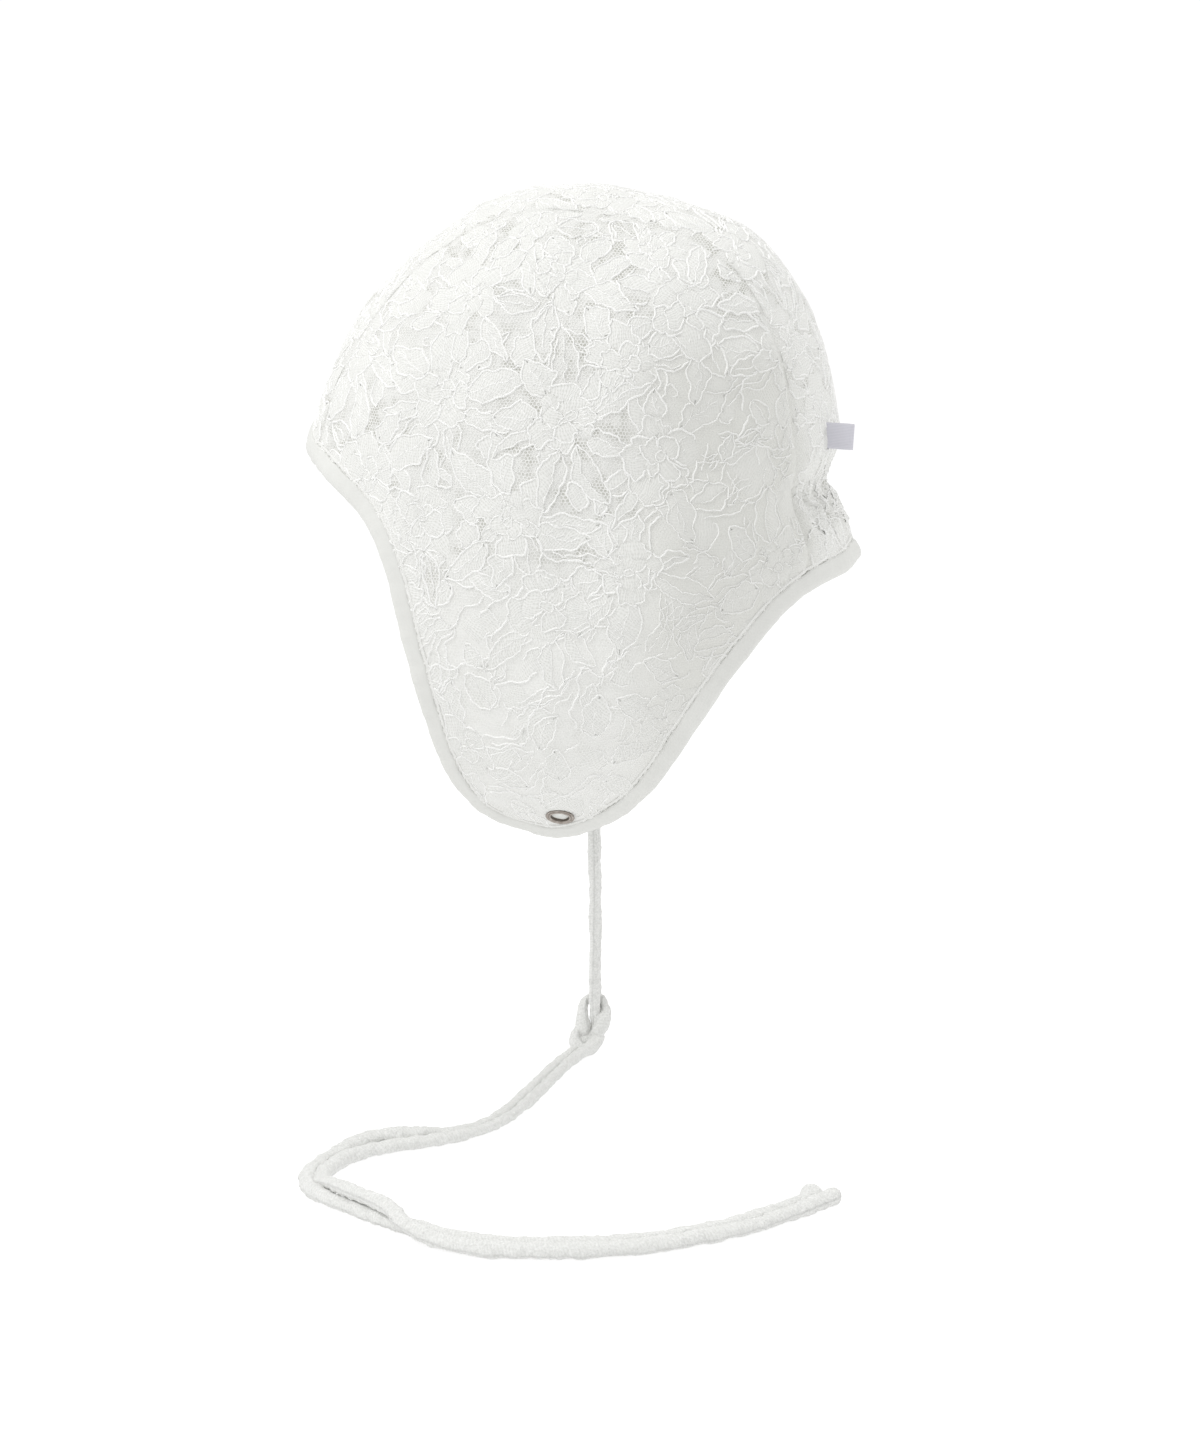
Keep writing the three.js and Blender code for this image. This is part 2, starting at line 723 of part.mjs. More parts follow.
// The middle line between the two strands, from the knot to their ends. The roll turns the
// pair about that line, in half turns, so a whole number lays the strands side by side.
const PAIR_ROUTE = [
  { x: -28.9, y: -4.2, rise: 2.4, roll: 0 },
  { x: -15.4, y: -9.7, rise: 0.3, roll: 0 },
  { x: 1, y: -12.2, rise: 0, roll: 0 },
  { x: 20, y: -14.6, rise: 0, roll: 0 },
  { x: 38, y: -17.4, rise: 0, roll: 0 },
  { x: 51, y: -20.7, rise: 0, roll: 0 },
  { x: 61, y: -26.6, rise: 0, roll: 0 },
  { x: 69, y: -34, rise: 0, roll: 0 },
  { x: 75.5, y: -43.3, rise: 0, roll: 0 },
  { x: 82.5, y: -52, rise: 0, roll: 0 },
  { x: 93, y: -58, rise: 0, roll: 0 },
  { x: 105, y: -60, rise: 0, roll: 0 },
  { x: 116, y: -58, rise: 0, roll: 0.05 },
  { x: 125, y: -51.3, rise: 0, roll: 0.35 },
  { x: 133, y: -42.5, rise: 0, roll: 0.65 },
  { x: 141, y: -33, rise: 0, roll: 0.95 },
  { x: 149.5, y: -22.5, rise: 0, roll: 1 },
  { x: 155.5, y: -10.8, rise: 0, roll: 1 },
  { x: 157, y: 3, rise: 0, roll: 1 },
  { x: 155, y: 19, rise: 0, roll: 1 },
  { x: 149.4, y: 34.2, rise: 0, roll: 1 },
  { x: 140.5, y: 48.3, rise: 0, roll: 1 },
  { x: 128, y: 62.5, rise: 0, roll: 1 },
  { x: 103.5, y: 79.5, rise: 0, roll: 1 },
];

const PAIR_CUTS = 4;           // steps that a strand takes between two rows of its route

function strandRoute(sign, cutBack) {
  const rows = PAIR_ROUTE;
  const middle = new THREE.CatmullRomCurve3(rows.map((row) => new Vec(row.x, row.y, row.rise)), false, 'centripetal');
  const steps = (rows.length - 1) * PAIR_CUTS;
  const points = Array.from({ length: steps + 1 }, (_, k) => {
    const place = k / PAIR_CUTS;
    const i = Math.min(Math.floor(place), rows.length - 2);
    const { x, y, z: rise } = middle.getPoint(k / steps);
    const along = middle.getTangent(k / steps);
    const sideways = new Vec(-along.y, along.x, 0).normalize();
    const turn = Math.PI * THREE.MathUtils.lerp(rows[i].roll, rows[i + 1].roll, place - i);
    const height = FLOOR + CORD / 2 + rise + PAIR * (Math.abs(Math.sin(turn)) + sign * Math.sin(turn));
    return new Vec(x, y, height).addScaledVector(sideways, sign * PAIR * Math.cos(turn));
  });
  return points.slice(0, points.length - cutBack);
}

function tieKnot() {
  const geometry = new THREE.SphereGeometry(0.5, KNOT.sides, 8);
  geometry.rotateX(Math.PI / 2);
  geometry.scale(KNOT.wide, KNOT.deep, KNOT.tall);
  geometry.translate(KNOT.x, KNOT.y, KNOT.z);
  geometry.deleteAttribute('normal');
  geometry.deleteAttribute('uv');
  return mergeVertices(geometry, 1e-4);
}

// ---------- the hat

const hat = new THREE.Group();

function add(name, geometry, color, roughness = 0.9, metalness = 0) {
  const mesh = new THREE.Mesh(geometry, new THREE.MeshStandardMaterial({ color, roughness, metalness }));
  mesh.name = name;
  hat.add(mesh);
}

const SIDES = [['left', 1], ['right', -1]];

add('centre_strip', wall(stripSheet(GAP / 2), 0, LACE), COLOURS.lace);
SIDES.forEach(([name, side]) => {
  const panel = wall(sideSheet(side, GAP / 2), 0, LACE);
  add(`side_panel_${name}`, cut(panel, [eyeletHole(side)]), COLOURS.lace);
});
const liningSheet = joinSheets([stripSheet(0), sideSheet(1, 0), sideSheet(-1, 0)]);
add('lining', cut(wall(liningSheet, LACE + GAP, CLOTH), [eyeletHole(1), eyeletHole(-1)]), COLOURS.lining);
add('binding', binding(), COLOURS.binding);
SIDES.forEach(([name, side]) => add(`eyelet_${name}`, eyelet(side), COLOURS.steel, 0.35, 1));
add('label_tag', labelTag(), COLOURS.label, 0.6);
add('tie_cord_upper', cordTube(upperRoute(), CORD_HUNG, 30), COLOURS.cord);
add('tie_knot', tieKnot(), COLOURS.cord);
add('tie_cord_end_a', cordTube(strandRoute(1, 0), CORD, 34), COLOURS.cord);
add('tie_cord_end_b', cordTube(strandRoute(-1, 1), CORD, 34), COLOURS.cord);

export default hat;
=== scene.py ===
"""Aviator hat for a baby: lace over a lining, bound edge, eyelets, blank label and a knotted tie."""
import math

import bpy
import numpy as np
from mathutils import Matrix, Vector

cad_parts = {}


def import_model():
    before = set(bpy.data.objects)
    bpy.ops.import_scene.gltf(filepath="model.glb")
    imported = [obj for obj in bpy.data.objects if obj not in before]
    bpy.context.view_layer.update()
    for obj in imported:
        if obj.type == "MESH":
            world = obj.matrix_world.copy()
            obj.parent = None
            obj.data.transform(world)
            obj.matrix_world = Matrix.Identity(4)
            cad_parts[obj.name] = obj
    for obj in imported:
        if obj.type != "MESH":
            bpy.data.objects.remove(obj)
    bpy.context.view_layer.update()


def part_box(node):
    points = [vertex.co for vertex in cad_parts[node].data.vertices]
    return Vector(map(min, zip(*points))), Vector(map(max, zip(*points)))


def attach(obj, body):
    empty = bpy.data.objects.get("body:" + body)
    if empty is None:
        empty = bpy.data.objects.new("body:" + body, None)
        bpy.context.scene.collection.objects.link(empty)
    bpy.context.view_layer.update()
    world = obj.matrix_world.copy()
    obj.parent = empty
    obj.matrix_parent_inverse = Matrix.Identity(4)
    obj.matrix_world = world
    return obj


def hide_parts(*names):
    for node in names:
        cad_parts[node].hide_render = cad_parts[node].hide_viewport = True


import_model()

# Everything below is in millimetres until a mesh is made, and tables are in degrees.
MM = 0.001

# ---------- the head form, as in the part's source

GAP = 0.3
CLOTH = 2.5
HALF_BREADTH = 66
SIDE_POWER = 2.2
# The outline from the side: angle round the ear, radius, and how squarely it turns to the side.
PROFILE = [
    (-90, 123.5, 3.2), (-75, 119.5, 3), (-60, 108, 2.8), (-30, 91, 2.4), (0, 82, 2.2),
    (20, 76.7, 2.2), (38, 74, 2.2), (56, 72.6, 2.2), (66, 73.1, 2.2), (78, 72.5, 2.2),
    (90, 71.6, 2.2), (101, 71.2, 2.2), (112, 72.4, 2.2), (126, 74, 2.2), (140, 74.8, 2.2),
    (160, 73, 2.2), (180, 73, 2.2), (192, 75.5, 2.3), (200, 82, 2.4), (206, 88.5, 2.4),
    (216, 95, 2.5), (240, 111, 2.8),
]
# The edge of the cloth: angle, and its spread from the ear.
EDGE = [
    (0, 90), (-3.2, 73.5), (-9.5, 53.3), (-19, 42.6), (-31, 37.1), (-43.5, 36.4),
    (-54.8, 40), (-63.3, 47.5), (-70, 57), (-77, 64.7), (-87, 63.6), (-95, 59.5),
    (-103.4, 51.7), (-111.8, 45), (-121.5, 41.8), (-133, 43.9), (-143, 50),
    (-150, 59.5), (-154, 75), (-155.6, 90),
]
# The centre strip: angle, and half its width.
STRIP = [(-10, 33.5), (90, 34), (170, 36.5), (195, 37), (214, 40.5)]
# The nape that the elastic draws in: angle, lift, and how deep the puckers are.
NAPE = [
    (174, 0, 0), (181, 0.6, 0.15), (185, -1, 0.4), (188, -3, 0.7), (190.5, -4, 0.9),
    (193, -2, 1), (195.5, -1, 1), (198, 0, 0.6), (200.5, 0, 0),
]
NAPE_SLOPE = 5
PUCKER_DEPTH = 0.9
PUCKER_PITCH = 8.5
PUCKER_FADE = (28, 47)


def unit(v):
    return v / np.linalg.norm(v, axis=-1, keepdims=True)


def travelled(line):
    """How far along a line each of its points is."""
    return np.concatenate([[0], np.cumsum(np.linalg.norm(np.diff(line, axis=0), axis=1))])


def column(rows, k, period=0):
    """Reads a table's column at any angle, smoothly, and holds the ends."""
    a = np.array([r[0] for r in rows], float)
    v = np.array([r[k] for r in rows], float)
    if period:
        a = np.concatenate([a[-2:] - period, a, a[:2] + period])
        v = np.concatenate([v[-2:], v, v[:2]])
    slope = np.empty_like(v)
    slope[1:-1] = (v[2:] - v[:-2]) / (a[2:] - a[:-2])
    slope[0] = (v[1] - v[0]) / (a[1] - a[0])
    slope[-1] = (v[-1] - v[-2]) / (a[-1] - a[-2])
    fine = np.linspace(a[0], a[-1], int((a[-1] - a[0]) * 20) + 1)
    i = np.clip(np.searchsorted(a, fine, side="right") - 1, 0, len(a) - 2)
    step = a[i + 1] - a[i]
    t = (fine - a[i]) / step
    value = ((2 * t**3 - 3 * t**2 + 1) * v[i] + (t**3 - 2 * t**2 + t) * step * slope[i]
             + (3 * t**2 - 2 * t**3) * v[i + 1] + (t**3 - t**2) * step * slope[i + 1])
    first = rows[0][0]

    def read(angle):
        if period:
            angle = first + np.mod(np.asarray(angle) - first, period)
        return np.interp(angle, fine, value)
    return read


radius_at = column(PROFILE, 1, 360)
turn_at = column(PROFILE, 2, 360)
strip_half_at = column(STRIP, 1)
nape_lift_at = column(NAPE, 1)
nape_pucker_at = column(NAPE, 2)
EAR_Z = CLOTH - float(radius_at(90))


def head_point(angle, spread, side):
    """The head's point in a direction from the ear, seen from the side, and a spread away from the ear."""
    s = np.radians(spread)
    a = np.radians(angle)
    x = HALF_BREADTH * np.maximum(np.cos(s), 0) ** (2 / SIDE_POWER)
    r = radius_at(angle) * np.sin(s) ** (2 / turn_at(angle))
    return np.stack(np.broadcast_arrays(side * x, -r * np.cos(a), EAR_Z + r * np.sin(a)), -1)


def angle_of(p):
    a = np.degrees(np.arctan2(p[..., 2] - EAR_Z, -p[..., 1]))
    return np.where(a < -90, a + 360, a)


def outsideness(p):
    """Above 0 outside the head form, and below 0 inside it."""
    r = np.hypot(p[..., 1], p[..., 2] - EAR_Z)
    a = angle_of(p)
    return (np.abs(p[..., 0]) / HALF_BREADTH) ** SIDE_POWER + (r / radius_at(a)) ** turn_at(a) - 1


def gradient(p, step=0.01):
    pairs = [(outsideness(p + e) - outsideness(p - e)) / (2 * step) for e in np.eye(3) * step]
    return np.stack(pairs, -1)


def normal_at(p):
    return unit(gradient(p))


def onto_head(p):
    p = np.array(p, float)
    for _ in range(4):
        g = gradient(p)
        p -= g * (outsideness(p) / np.sum(g * g, -1))[..., None]
    return p


def smoothstep(x, lo, hi):
    t = np.clip((x - lo) / (hi - lo), 0, 1)
    return t * t * (3 - 2 * t)


def nape_angle(angle, x):
    """The angle to read the nape's table at: its rows bow across the strip."""
    return np.where(angle < 90, 0, angle - NAPE_SLOPE * (x / strip_half_at(angle)) ** 2)


def gather(angle, x):
    """The large puckers that the elastic draws in."""
    fade = 1 - smoothstep(np.abs(x), *PUCKER_FADE)
    a = nape_angle(angle, x)
    wave = np.cos(2 * np.pi * x / PUCKER_PITCH + 0.8 * np.sin(x / 7 + a / 4))
    return fade * (nape_lift_at(a) + PUCKER_DEPTH * nape_pucker_at(a) * wave)


# ---------- the edge of the cloth


def catmull(points, ts):
    """The centripetal curve through the points, at shares ts of its spans."""
    pts = np.asarray(points, float)
    pts = np.concatenate([[2 * pts[0] - pts[1]], pts, [2 * pts[-1] - pts[-2]]])
    spans = len(pts) - 3
    place = np.clip(np.asarray(ts, float), 0, 1) * spans
    i = np.clip(np.floor(place).astype(int), 0, spans - 1)
    w = (place - i)[:, None]
    p0, p1, p2, p3 = (pts[i + k] for k in range(4))
    d = [np.maximum(np.linalg.norm(b - a, axis=1, keepdims=True) ** 0.5, 1e-4)
         for a, b in ((p0, p1), (p1, p2), (p2, p3))]
    t1 = ((p1 - p0) / d[0] - (p2 - p0) / (d[0] + d[1]) + (p2 - p1) / d[1]) * d[1]
    t2 = ((p2 - p1) / d[1] - (p3 - p1) / (d[1] + d[2]) + (p3 - p2) / d[2]) * d[1]
    return (p1 + t1 * w + (-3 * p1 + 3 * p2 - 2 * t1 - t2) * w**2
            + (2 * p1 - 2 * p2 + t1 + t2) * w**3)


def edge_curve(n):
    """Angle and spread of the edge on one side, from the forehead to the nape."""
    rows = [(EDGE[1][0], 180 - EDGE[1][1]), *EDGE, (EDGE[-2][0], 180 - EDGE[-2][1])]
    disc = [(s * math.cos(math.radians(a)), s * math.sin(math.radians(a))) for a, s in rows]
    spans = len(rows) - 1
    p = catmull(disc, (1 + np.linspace(0, 1, n) * (spans - 2)) / spans)
    return np.degrees(np.arctan2(p[:, 1], p[:, 0])), np.minimum(np.hypot(p[:, 0], p[:, 1]), 90)


edge_angle, edge_spread = edge_curve(6001)
edge_x = head_point(edge_angle, edge_spread, 1)[:, 0]


def edge_spread_at(angle):
    """How far the cloth reaches from the ear, as a spread, in a direction."""
    a = np.where(np.asarray(angle) > 180, np.asarray(angle) - 360, angle)
    reach = np.interp(-a, -edge_angle, edge_spread)
    return np.where((a > 0) | (a < edge_angle[-1]), 90, reach)


def edge_angle_at(x, end):
    """The edge's angle at a distance from the middle plane: end 0 is the forehead's, 1 the nape's."""
    half = len(edge_x) // 4
    if end == 0:
        return np.interp(np.abs(x), edge_x[:half], edge_angle[:half])
    return np.interp(np.abs(x), edge_x[::-1][:half], edge_angle[::-1][:half]) + 360


def spread_across(x):
    part = np.minimum(np.abs(x) / HALF_BREADTH, 1)
    return np.degrees(np.arccos(part ** (SIDE_POWER / 2)))


# ---------- relief that the cloth has everywhere

# Wrinkles: length and depth.
WRINKLES = ((46, 0.30), (34, 0.26), (27, 0.20), (19, 0.14), (13, 0.09), (9, 0.06))
rng = np.random.default_rng(7)
WAVES = [(length, depth, rng.normal(size=3), rng.uniform(0, 6.28)) for length, depth in WRINKLES]


def wrinkle(p):
    out = np.zeros(p.shape[:-1])
    for length, depth, way, phase in WAVES:
        k = way / np.linalg.norm(way) * 2 * np.pi / length
        out += depth * np.sin(p @ k + phase + 1.3 * np.sin(p[..., 2] / length + phase))
    return out


def fine_gather(angle, x):
    """Small pleats that the elastic draws in, besides the large ones."""
    fade = 1 - smoothstep(np.abs(x), 30, 50)
    a = nape_angle(angle, x)
    band = smoothstep(a, 183, 189) * (1 - smoothstep(a, 196.5, 201))
    drift = 1.6 * np.sin(x / 4.1 + a / 2.2) + 0.9 * np.sin(x / 9.3 - a / 1.7)
    turn = 2 * np.pi * x
    return fade * band * (0.42 * np.cos(turn / 3.6 + drift) + 0.2 * np.cos(turn / 2.1 - drift))


def seam_dip(angle, x):
    """The cloth sinks along the two seams of the centre strip."""
    away = np.abs(np.abs(x) - strip_half_at(angle))
    ridge = 0.16 * np.exp(-((away - 2.2) / 1.1) ** 2)
    return ridge - 0.3 * np.exp(-(away / 0.8) ** 2)


# The edge's angle and the distance in from it, how the cloth tilts and thins there and over what reach,
# the hole's radius, how deep it goes, and how far away the lace's cords keep.
EYELET = {"angle": -88.4, "inset": 11, "tilt": 0.18, "pinch": 0.7, "reach": 6.8, "hole": 3.1,
          "deep": 6, "clear": 4.6}


def eyelet_seat(side):
    """An eyelet's middle on the head, and the way out of the cloth there."""
    i = int(np.argmin(np.abs(edge_angle - EYELET["angle"])))
    edge = head_point(edge_angle[i], edge_spread[i], side)
    n = normal_at(edge)
    ear = np.array((side * HALF_BREADTH, 0, EAR_Z)) - edge
    place = onto_head(edge + unit(ear - n * ear.dot(n)) * EYELET["inset"])
    return place, normal_at(place)


EYELETS = {side: eyelet_seat(side) for side in (1, -1)}


def round_eyelets(q):
    """The tie pulls the cloth out above an eyelet and in below it, and the ring pinches it thin."""
    lift, thin = np.zeros(q.shape[:-1]), np.ones(q.shape[:-1])
    for place, out in EYELETS.values():
        up = unit(np.array((0, 0, 1)) - out * out[2])
        away = q - place
        near = np.exp(-np.sum(away * away, -1) / EYELET["reach"] ** 2)
        lift += EYELET["tilt"] * (away @ up) * near
        thin -= EYELET["pinch"] * near
    return lift, thin


def pierced(points, faces):
    """The cloth with a round hole at each eyelet, under the ring."""
    points = np.array(points, float)
    near = np.zeros(len(points), bool)
    for place, out in EYELETS.values():
        away = points - place
        flat = away - (away @ out)[:, None] * out
        r = np.linalg.norm(flat, axis=1)
        inside = (r < EYELET["hole"]) & (np.abs(away @ out) < EYELET["deep"])
        points[inside] += flat[inside] * (EYELET["hole"] / np.maximum(r[inside], 1e-6) - 1)[:, None]
        near |= inside
    return points, [f for f in faces if not all(near[i] for i in f)]


def cloth(p, depth, relief=1.0):
    """For points near the head, those at a depth below the cloth's outer face, and the way out there."""
    q = onto_head(p)
    n = normal_at(q)
    a = angle_of(q)
    x = q[..., 0]
    tilt, thin = round_eyelets(q)
    lift = gather(a, x) + tilt + relief * (wrinkle(q) + fine_gather(a, x) + seam_dip(a, x))
    return q + n * (lift - depth * thin)[..., None], n


# ---------- meshes


def mesh_piece(name, points, faces, material, smooth=True, uv=None):
    """An object with one mesh, of the points that its faces use."""
    used = np.unique(np.concatenate([np.ravel(f) for f in faces]))
    if len(used) < len(points):
        order = np.zeros(len(points), int)
        order[used] = np.arange(len(used))
        faces = [[order[i] for i in f] for f in faces]
        points, uv = np.asarray(points)[used], np.asarray(uv)[used]
    mesh = bpy.data.meshes.new(name)
    mesh.from_pydata((np.asarray(points) * MM).tolist(), [], [tuple(f) for f in faces])
    mesh.polygons.foreach_set("use_smooth", [smooth] * len(mesh.polygons))
    if uv is not None:
        layer = mesh.uv_layers.new(name="along")
        index = np.empty(len(mesh.loops), int)
        mesh.loops.foreach_get("vertex_index", index)
        layer.data.foreach_set("uv", np.asarray(uv, float)[index].ravel())
    mesh.update()
    piece = bpy.data.objects.new(name, mesh)
    bpy.context.scene.collection.objects.link(piece)
    mesh.materials.append(material)
    return piece


def on_hat(piece, slot, *nodes):
    """Every piece rides on the hat's one body, and may stand in for solids."""
    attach(piece, "root")
    if nodes:
        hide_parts(*nodes)


def grid_faces(rows, cols, closed=False, start=0):
    """Quads of a grid of points; a closed grid joins its last column to its first."""
    r, c = np.meshgrid(np.arange(rows - 1), np.arange(cols if closed else cols - 1), indexing="ij")
    here, beside = r * cols + c, r * cols + (c + 1) % cols
    return (start + np.stack([here, beside, beside + cols, here + cols], -1)).reshape(-1, 4)


def grid_uv(along, across):
    return np.stack([np.repeat(along, len(across)), np.tile(across, len(along))], -1)


def skin(name, rows, along, across, material, tube=True, ring=False):
    """A mesh over rows of points: a tube's rows are closed, and a ring's last row joins its first."""
    n, k = rows.shape[:2]
    faces = grid_faces(n + ring, k, closed=tube) % (n * k)
    return mesh_piece(name, rows.reshape(-1, 3), faces.tolist(), material, uv=grid_uv(along, across))


def rows_of(line, side, up, section, wide=1, high=1):
    """A row of points for each place of a line: a section, sideways and up from there."""
    return line[:, None] + side[:, None] * section[:, :1] * wide + up[:, None] * section[:, 1:] * high


def sweep(line, up, section, size, twist=0.0):
    """Rows of points of a section that is carried along a line, upright and then twisted."""
    along = unit(np.gradient(line, axis=0))
    up = unit(up - along * np.sum(up * along, 1, keepdims=True))
    side = np.cross(along, up)
    c, s = (np.asarray(f(twist))[..., None] for f in (np.cos, np.sin))
    size = np.asarray(size)[..., None]
    return rows_of(line, side * c - up * s, up * c + side * s, section, size, size)


def circle(sides):
    t = np.arange(sides) * 2 * np.pi / sides
    return np.stack([np.cos(t), np.sin(t)], -1)


def evenly(line, step):
    """The same line with points a step apart."""
    at = travelled(line)
    n = max(int(round(at[-1] / step)), 2)
    want = np.linspace(0, at[-1], n + 1)
    return np.stack([np.interp(want, at, line[:, k]) for k in range(line.shape[1])], -1)


# ---------- materials


class Value:
    """What a node gives out. Arithmetic with it adds math nodes beside that node."""

    def __init__(self, nodes, node, output=0):
        self.nodes, self.node, self.output = nodes, node, output

    def __add__(self, other):
        return self.nodes.math("ADD", self, other)

    def __sub__(self, other):
        return self.nodes.math("SUBTRACT", self, other)

    def __rsub__(self, other):
        return self.nodes.math("SUBTRACT", other, self)

    def __mul__(self, other):
        return self.nodes.math("MULTIPLY", self, other)

    def __truediv__(self, other):
        return self.nodes.math("DIVIDE", self, other)

    def __abs__(self):
        return self.nodes.math("ABSOLUTE", self)

    def times_plus(self, factor, term):
        return self.nodes.math("MULTIPLY_ADD", self, factor, term)

    def wave(self, pitch):
        """A smooth ripple from 0 to 1 with a pitch."""
        return self.nodes.math("SINE", self * (2 * math.pi / pitch)).times_plus(0.5, 0.5)

    def ramp(self, low, high, to_low=0.0, to_high=1.0):
        inputs = {0: self, 1: low, 2: high, 3: to_low, 4: to_high}
        return self.nodes.add("ShaderNodeMapRange", inputs, clamp=True)

    def parts(self):
        node = self.nodes.add("ShaderNodeSeparateXYZ", {0: self}).node
        return [Value(self.nodes, node, k) for k in range(3)]


class Nodes:
    """A short way to write the node tree of a material or of the world."""

    def __init__(self, owner):
        owner.use_nodes = True
        self.owner = owner
        self.tree = owner.node_tree
        self.tree.nodes.clear()

    def add(self, kind, inputs=None, output=0, **settings):
        """Adds a node and gives its value. Colours are given without alpha."""
        node = self.tree.nodes.new(kind)
        for key, value in settings.items():
            setattr(node, key, value)
        for key, value in (inputs or {}).items():
            socket = node.inputs[key]
            if isinstance(value, Value):
                self.tree.links.new(value.node.outputs[value.output], socket)
            else:
                socket.default_value = (*value, 1) if socket.type == "RGBA" else value
        return Value(self, node, output)

    def math(self, operation, a, b=0.0, c=0.0, clamp=False):
        return self.add("ShaderNodeMath", {0: a, 1: b, 2: c}, operation=operation, use_clamp=clamp)

    def object_mm(self):
        place = self.add("ShaderNodeTexCoord", output="Object")
        return self.add("ShaderNodeVectorMath", {0: place, "Scale": 1 / MM}, operation="SCALE")

    def along(self):
        """The distances along and across a piece, in millimetres."""
        return self.add("ShaderNodeUVMap", uv_map="along").parts()[:2]

    def noise(self, where, scale, detail=2.0, rough=0.5):
        inputs = {"Vector": where, "Scale": scale, "Detail": detail, "Roughness": rough}
        return self.add("ShaderNodeTexNoise", inputs, output="Fac")

    def mix(self, factor, a, b):
        """Two colours mixed: sockets 6 and 7 are the node's colours, and output 2 is its colour."""
        return self.add("ShaderNodeMix", {0: factor, 6: a, 7: b}, output=2, data_type="RGBA")

    def bump(self, height, mm, strength):
        return self.add("ShaderNodeBump", {"Height": height, "Distance": mm * MM, "Strength": strength})

    def finish(self, colour, roughness, normal, metallic=0.0, sheen=0.0):
        inputs = {"Base Color": colour, "Roughness": roughness, "Normal": normal,
                  "Metallic": metallic, "Sheen Weight": sheen}
        if not metallic:
            inputs["Specular IOR Level"] = 0.25
        self.add("ShaderNodeOutputMaterial", {"Surface": self.add("ShaderNodeBsdfPrincipled", inputs)})
        return self.owner


def new_material(name):
    return Nodes(bpy.data.materials.new(name))


def behind_the_ear(where):
    """1 on the panels behind the ear, where the net is close and plain and the lace is painted darker as
    shade on the side turned from the light, and 0 elsewhere.
    """
    x, y, z = where.parts()
    return y.ramp(14, 34) * (z.ramp(-30, -50) * abs(x).ramp(30, 38))


# ---------- camera, light and floor

CAMERA = {"aim": (0, 3, -155.6), "azimuth": 98, "elevation": 9, "away": 850, "lens": 70.83, "film": 36}
# In metres: each lamp's name, place, size and power, and the place that they shine at.
LAMPS = [
    ("key", (0.64, -0.8, 1.15), 0.55, 9.0),
    ("top", (-0.15, 0.0, 1.5), 0.7, 2.9),
    ("rear", (-0.49, 1.19, 0.5), 0.7, 3.0),
]
LAMP_AIM = (0, 0, -0.1)
# How brightly the camera sees the surroundings, and how brightly they light the hat.
SKY_SEEN = 1.05
SKY_LIGHT = 0.755
# How brightly the floor glows on other things, and in the camera's view.
FLOOR_GLOW = (0.53, 0.68)
FLOOR_REACH = 3000
FLOOR_BELOW_TIE = 0.15


def turned_to(thing, way):
    """Links a camera or a lamp, which looks along a way."""
    bpy.context.scene.collection.objects.link(thing)
    thing.rotation_mode = "QUATERNION"
    thing.rotation_quaternion = Vector(way).to_track_quat("-Z", "Y")
    return thing


def camera():
    a, e = math.radians(CAMERA["azimuth"]), math.radians(CAMERA["elevation"])
    back = np.array((math.sin(a) * math.cos(e), -math.cos(a) * math.cos(e), math.sin(e)))
    lens = bpy.data.cameras.new("camera")
    lens.lens = CAMERA["lens"]
    lens.sensor_width = CAMERA["film"]
    lens.clip_start = 0.01
    lens.clip_end = 50
    eye = turned_to(bpy.data.objects.new("camera", lens), -back)
    eye.location = np.array(CAMERA["aim"]) * MM + back * CAMERA["away"] * MM
    bpy.context.scene.camera = eye


def lamps():
    for name, place, size, power in LAMPS:
        light = bpy.data.lights.new(name, "AREA")
        light.shape = "DISK"
        light.size = size
        light.energy = power
        lamp = turned_to(bpy.data.objects.new(name, light), Vector(LAMP_AIM) - Vector(place))
        lamp.location = place


def world():
    """White behind everything that the camera sees, and softer light on the hat."""
    w = Nodes(bpy.data.worlds.new("studio"))
    seen = w.add("ShaderNodeBackground", {"Color": (1, 1, 1), "Strength": SKY_SEEN})
    light = w.add("ShaderNodeBackground", {"Color": (1, 1, 0.995), "Strength": SKY_LIGHT})
    by_camera = w.add("ShaderNodeLightPath", output="Is Camera Ray")
    w.add("ShaderNodeOutputWorld", {0: w.add("ShaderNodeMixShader", {0: by_camera, 1: light, 2: seen})})
    bpy.context.scene.world = w.owner


def floor():
    """A floor that glows a little, so that it renders white, and is clear from below."""
    m = new_material("studio_floor")
    diffuse = m.add("ShaderNodeBsdfDiffuse", {"Color": (0.5, 0.5, 0.5)})
    by_camera = m.add("ShaderNodeLightPath", output="Is Camera Ray")
    strength = by_camera.ramp(0, 1, *FLOOR_GLOW)
    glow = m.add("ShaderNodeEmission", {"Color": (1, 1, 1), "Strength": strength})
    both = m.add("ShaderNodeAddShader", {0: diffuse, 1: glow})
    below = m.add("ShaderNodeNewGeometry", output="Backfacing")
    sides = m.add("ShaderNodeMixShader", {0: below, 1: both, 2: m.add("ShaderNodeBsdfTransparent")})
    m.add("ShaderNodeOutputMaterial", {"Surface": sides})
    z = float(min(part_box(f"tie_cord_end_{end}")[0][2] for end in "ab")) / MM - FLOOR_BELOW_TIE
    r = FLOOR_REACH
    corners = [(-r, -r, z), (r, -r, z), (r, r, z), (-r, r, z)]
    mesh_piece("floor", corners, [(0, 1, 2, 3)], m.owner, smooth=False)


camera()
lamps()
world()
floor()
view = bpy.context.scene.view_settings
view.view_transform = "Standard"
view.look = "None"
view.exposure = 0
view.gamma = 1

# ---------- the tie

CORD_HUNG = 3.5
CORD_LAID = 4.15
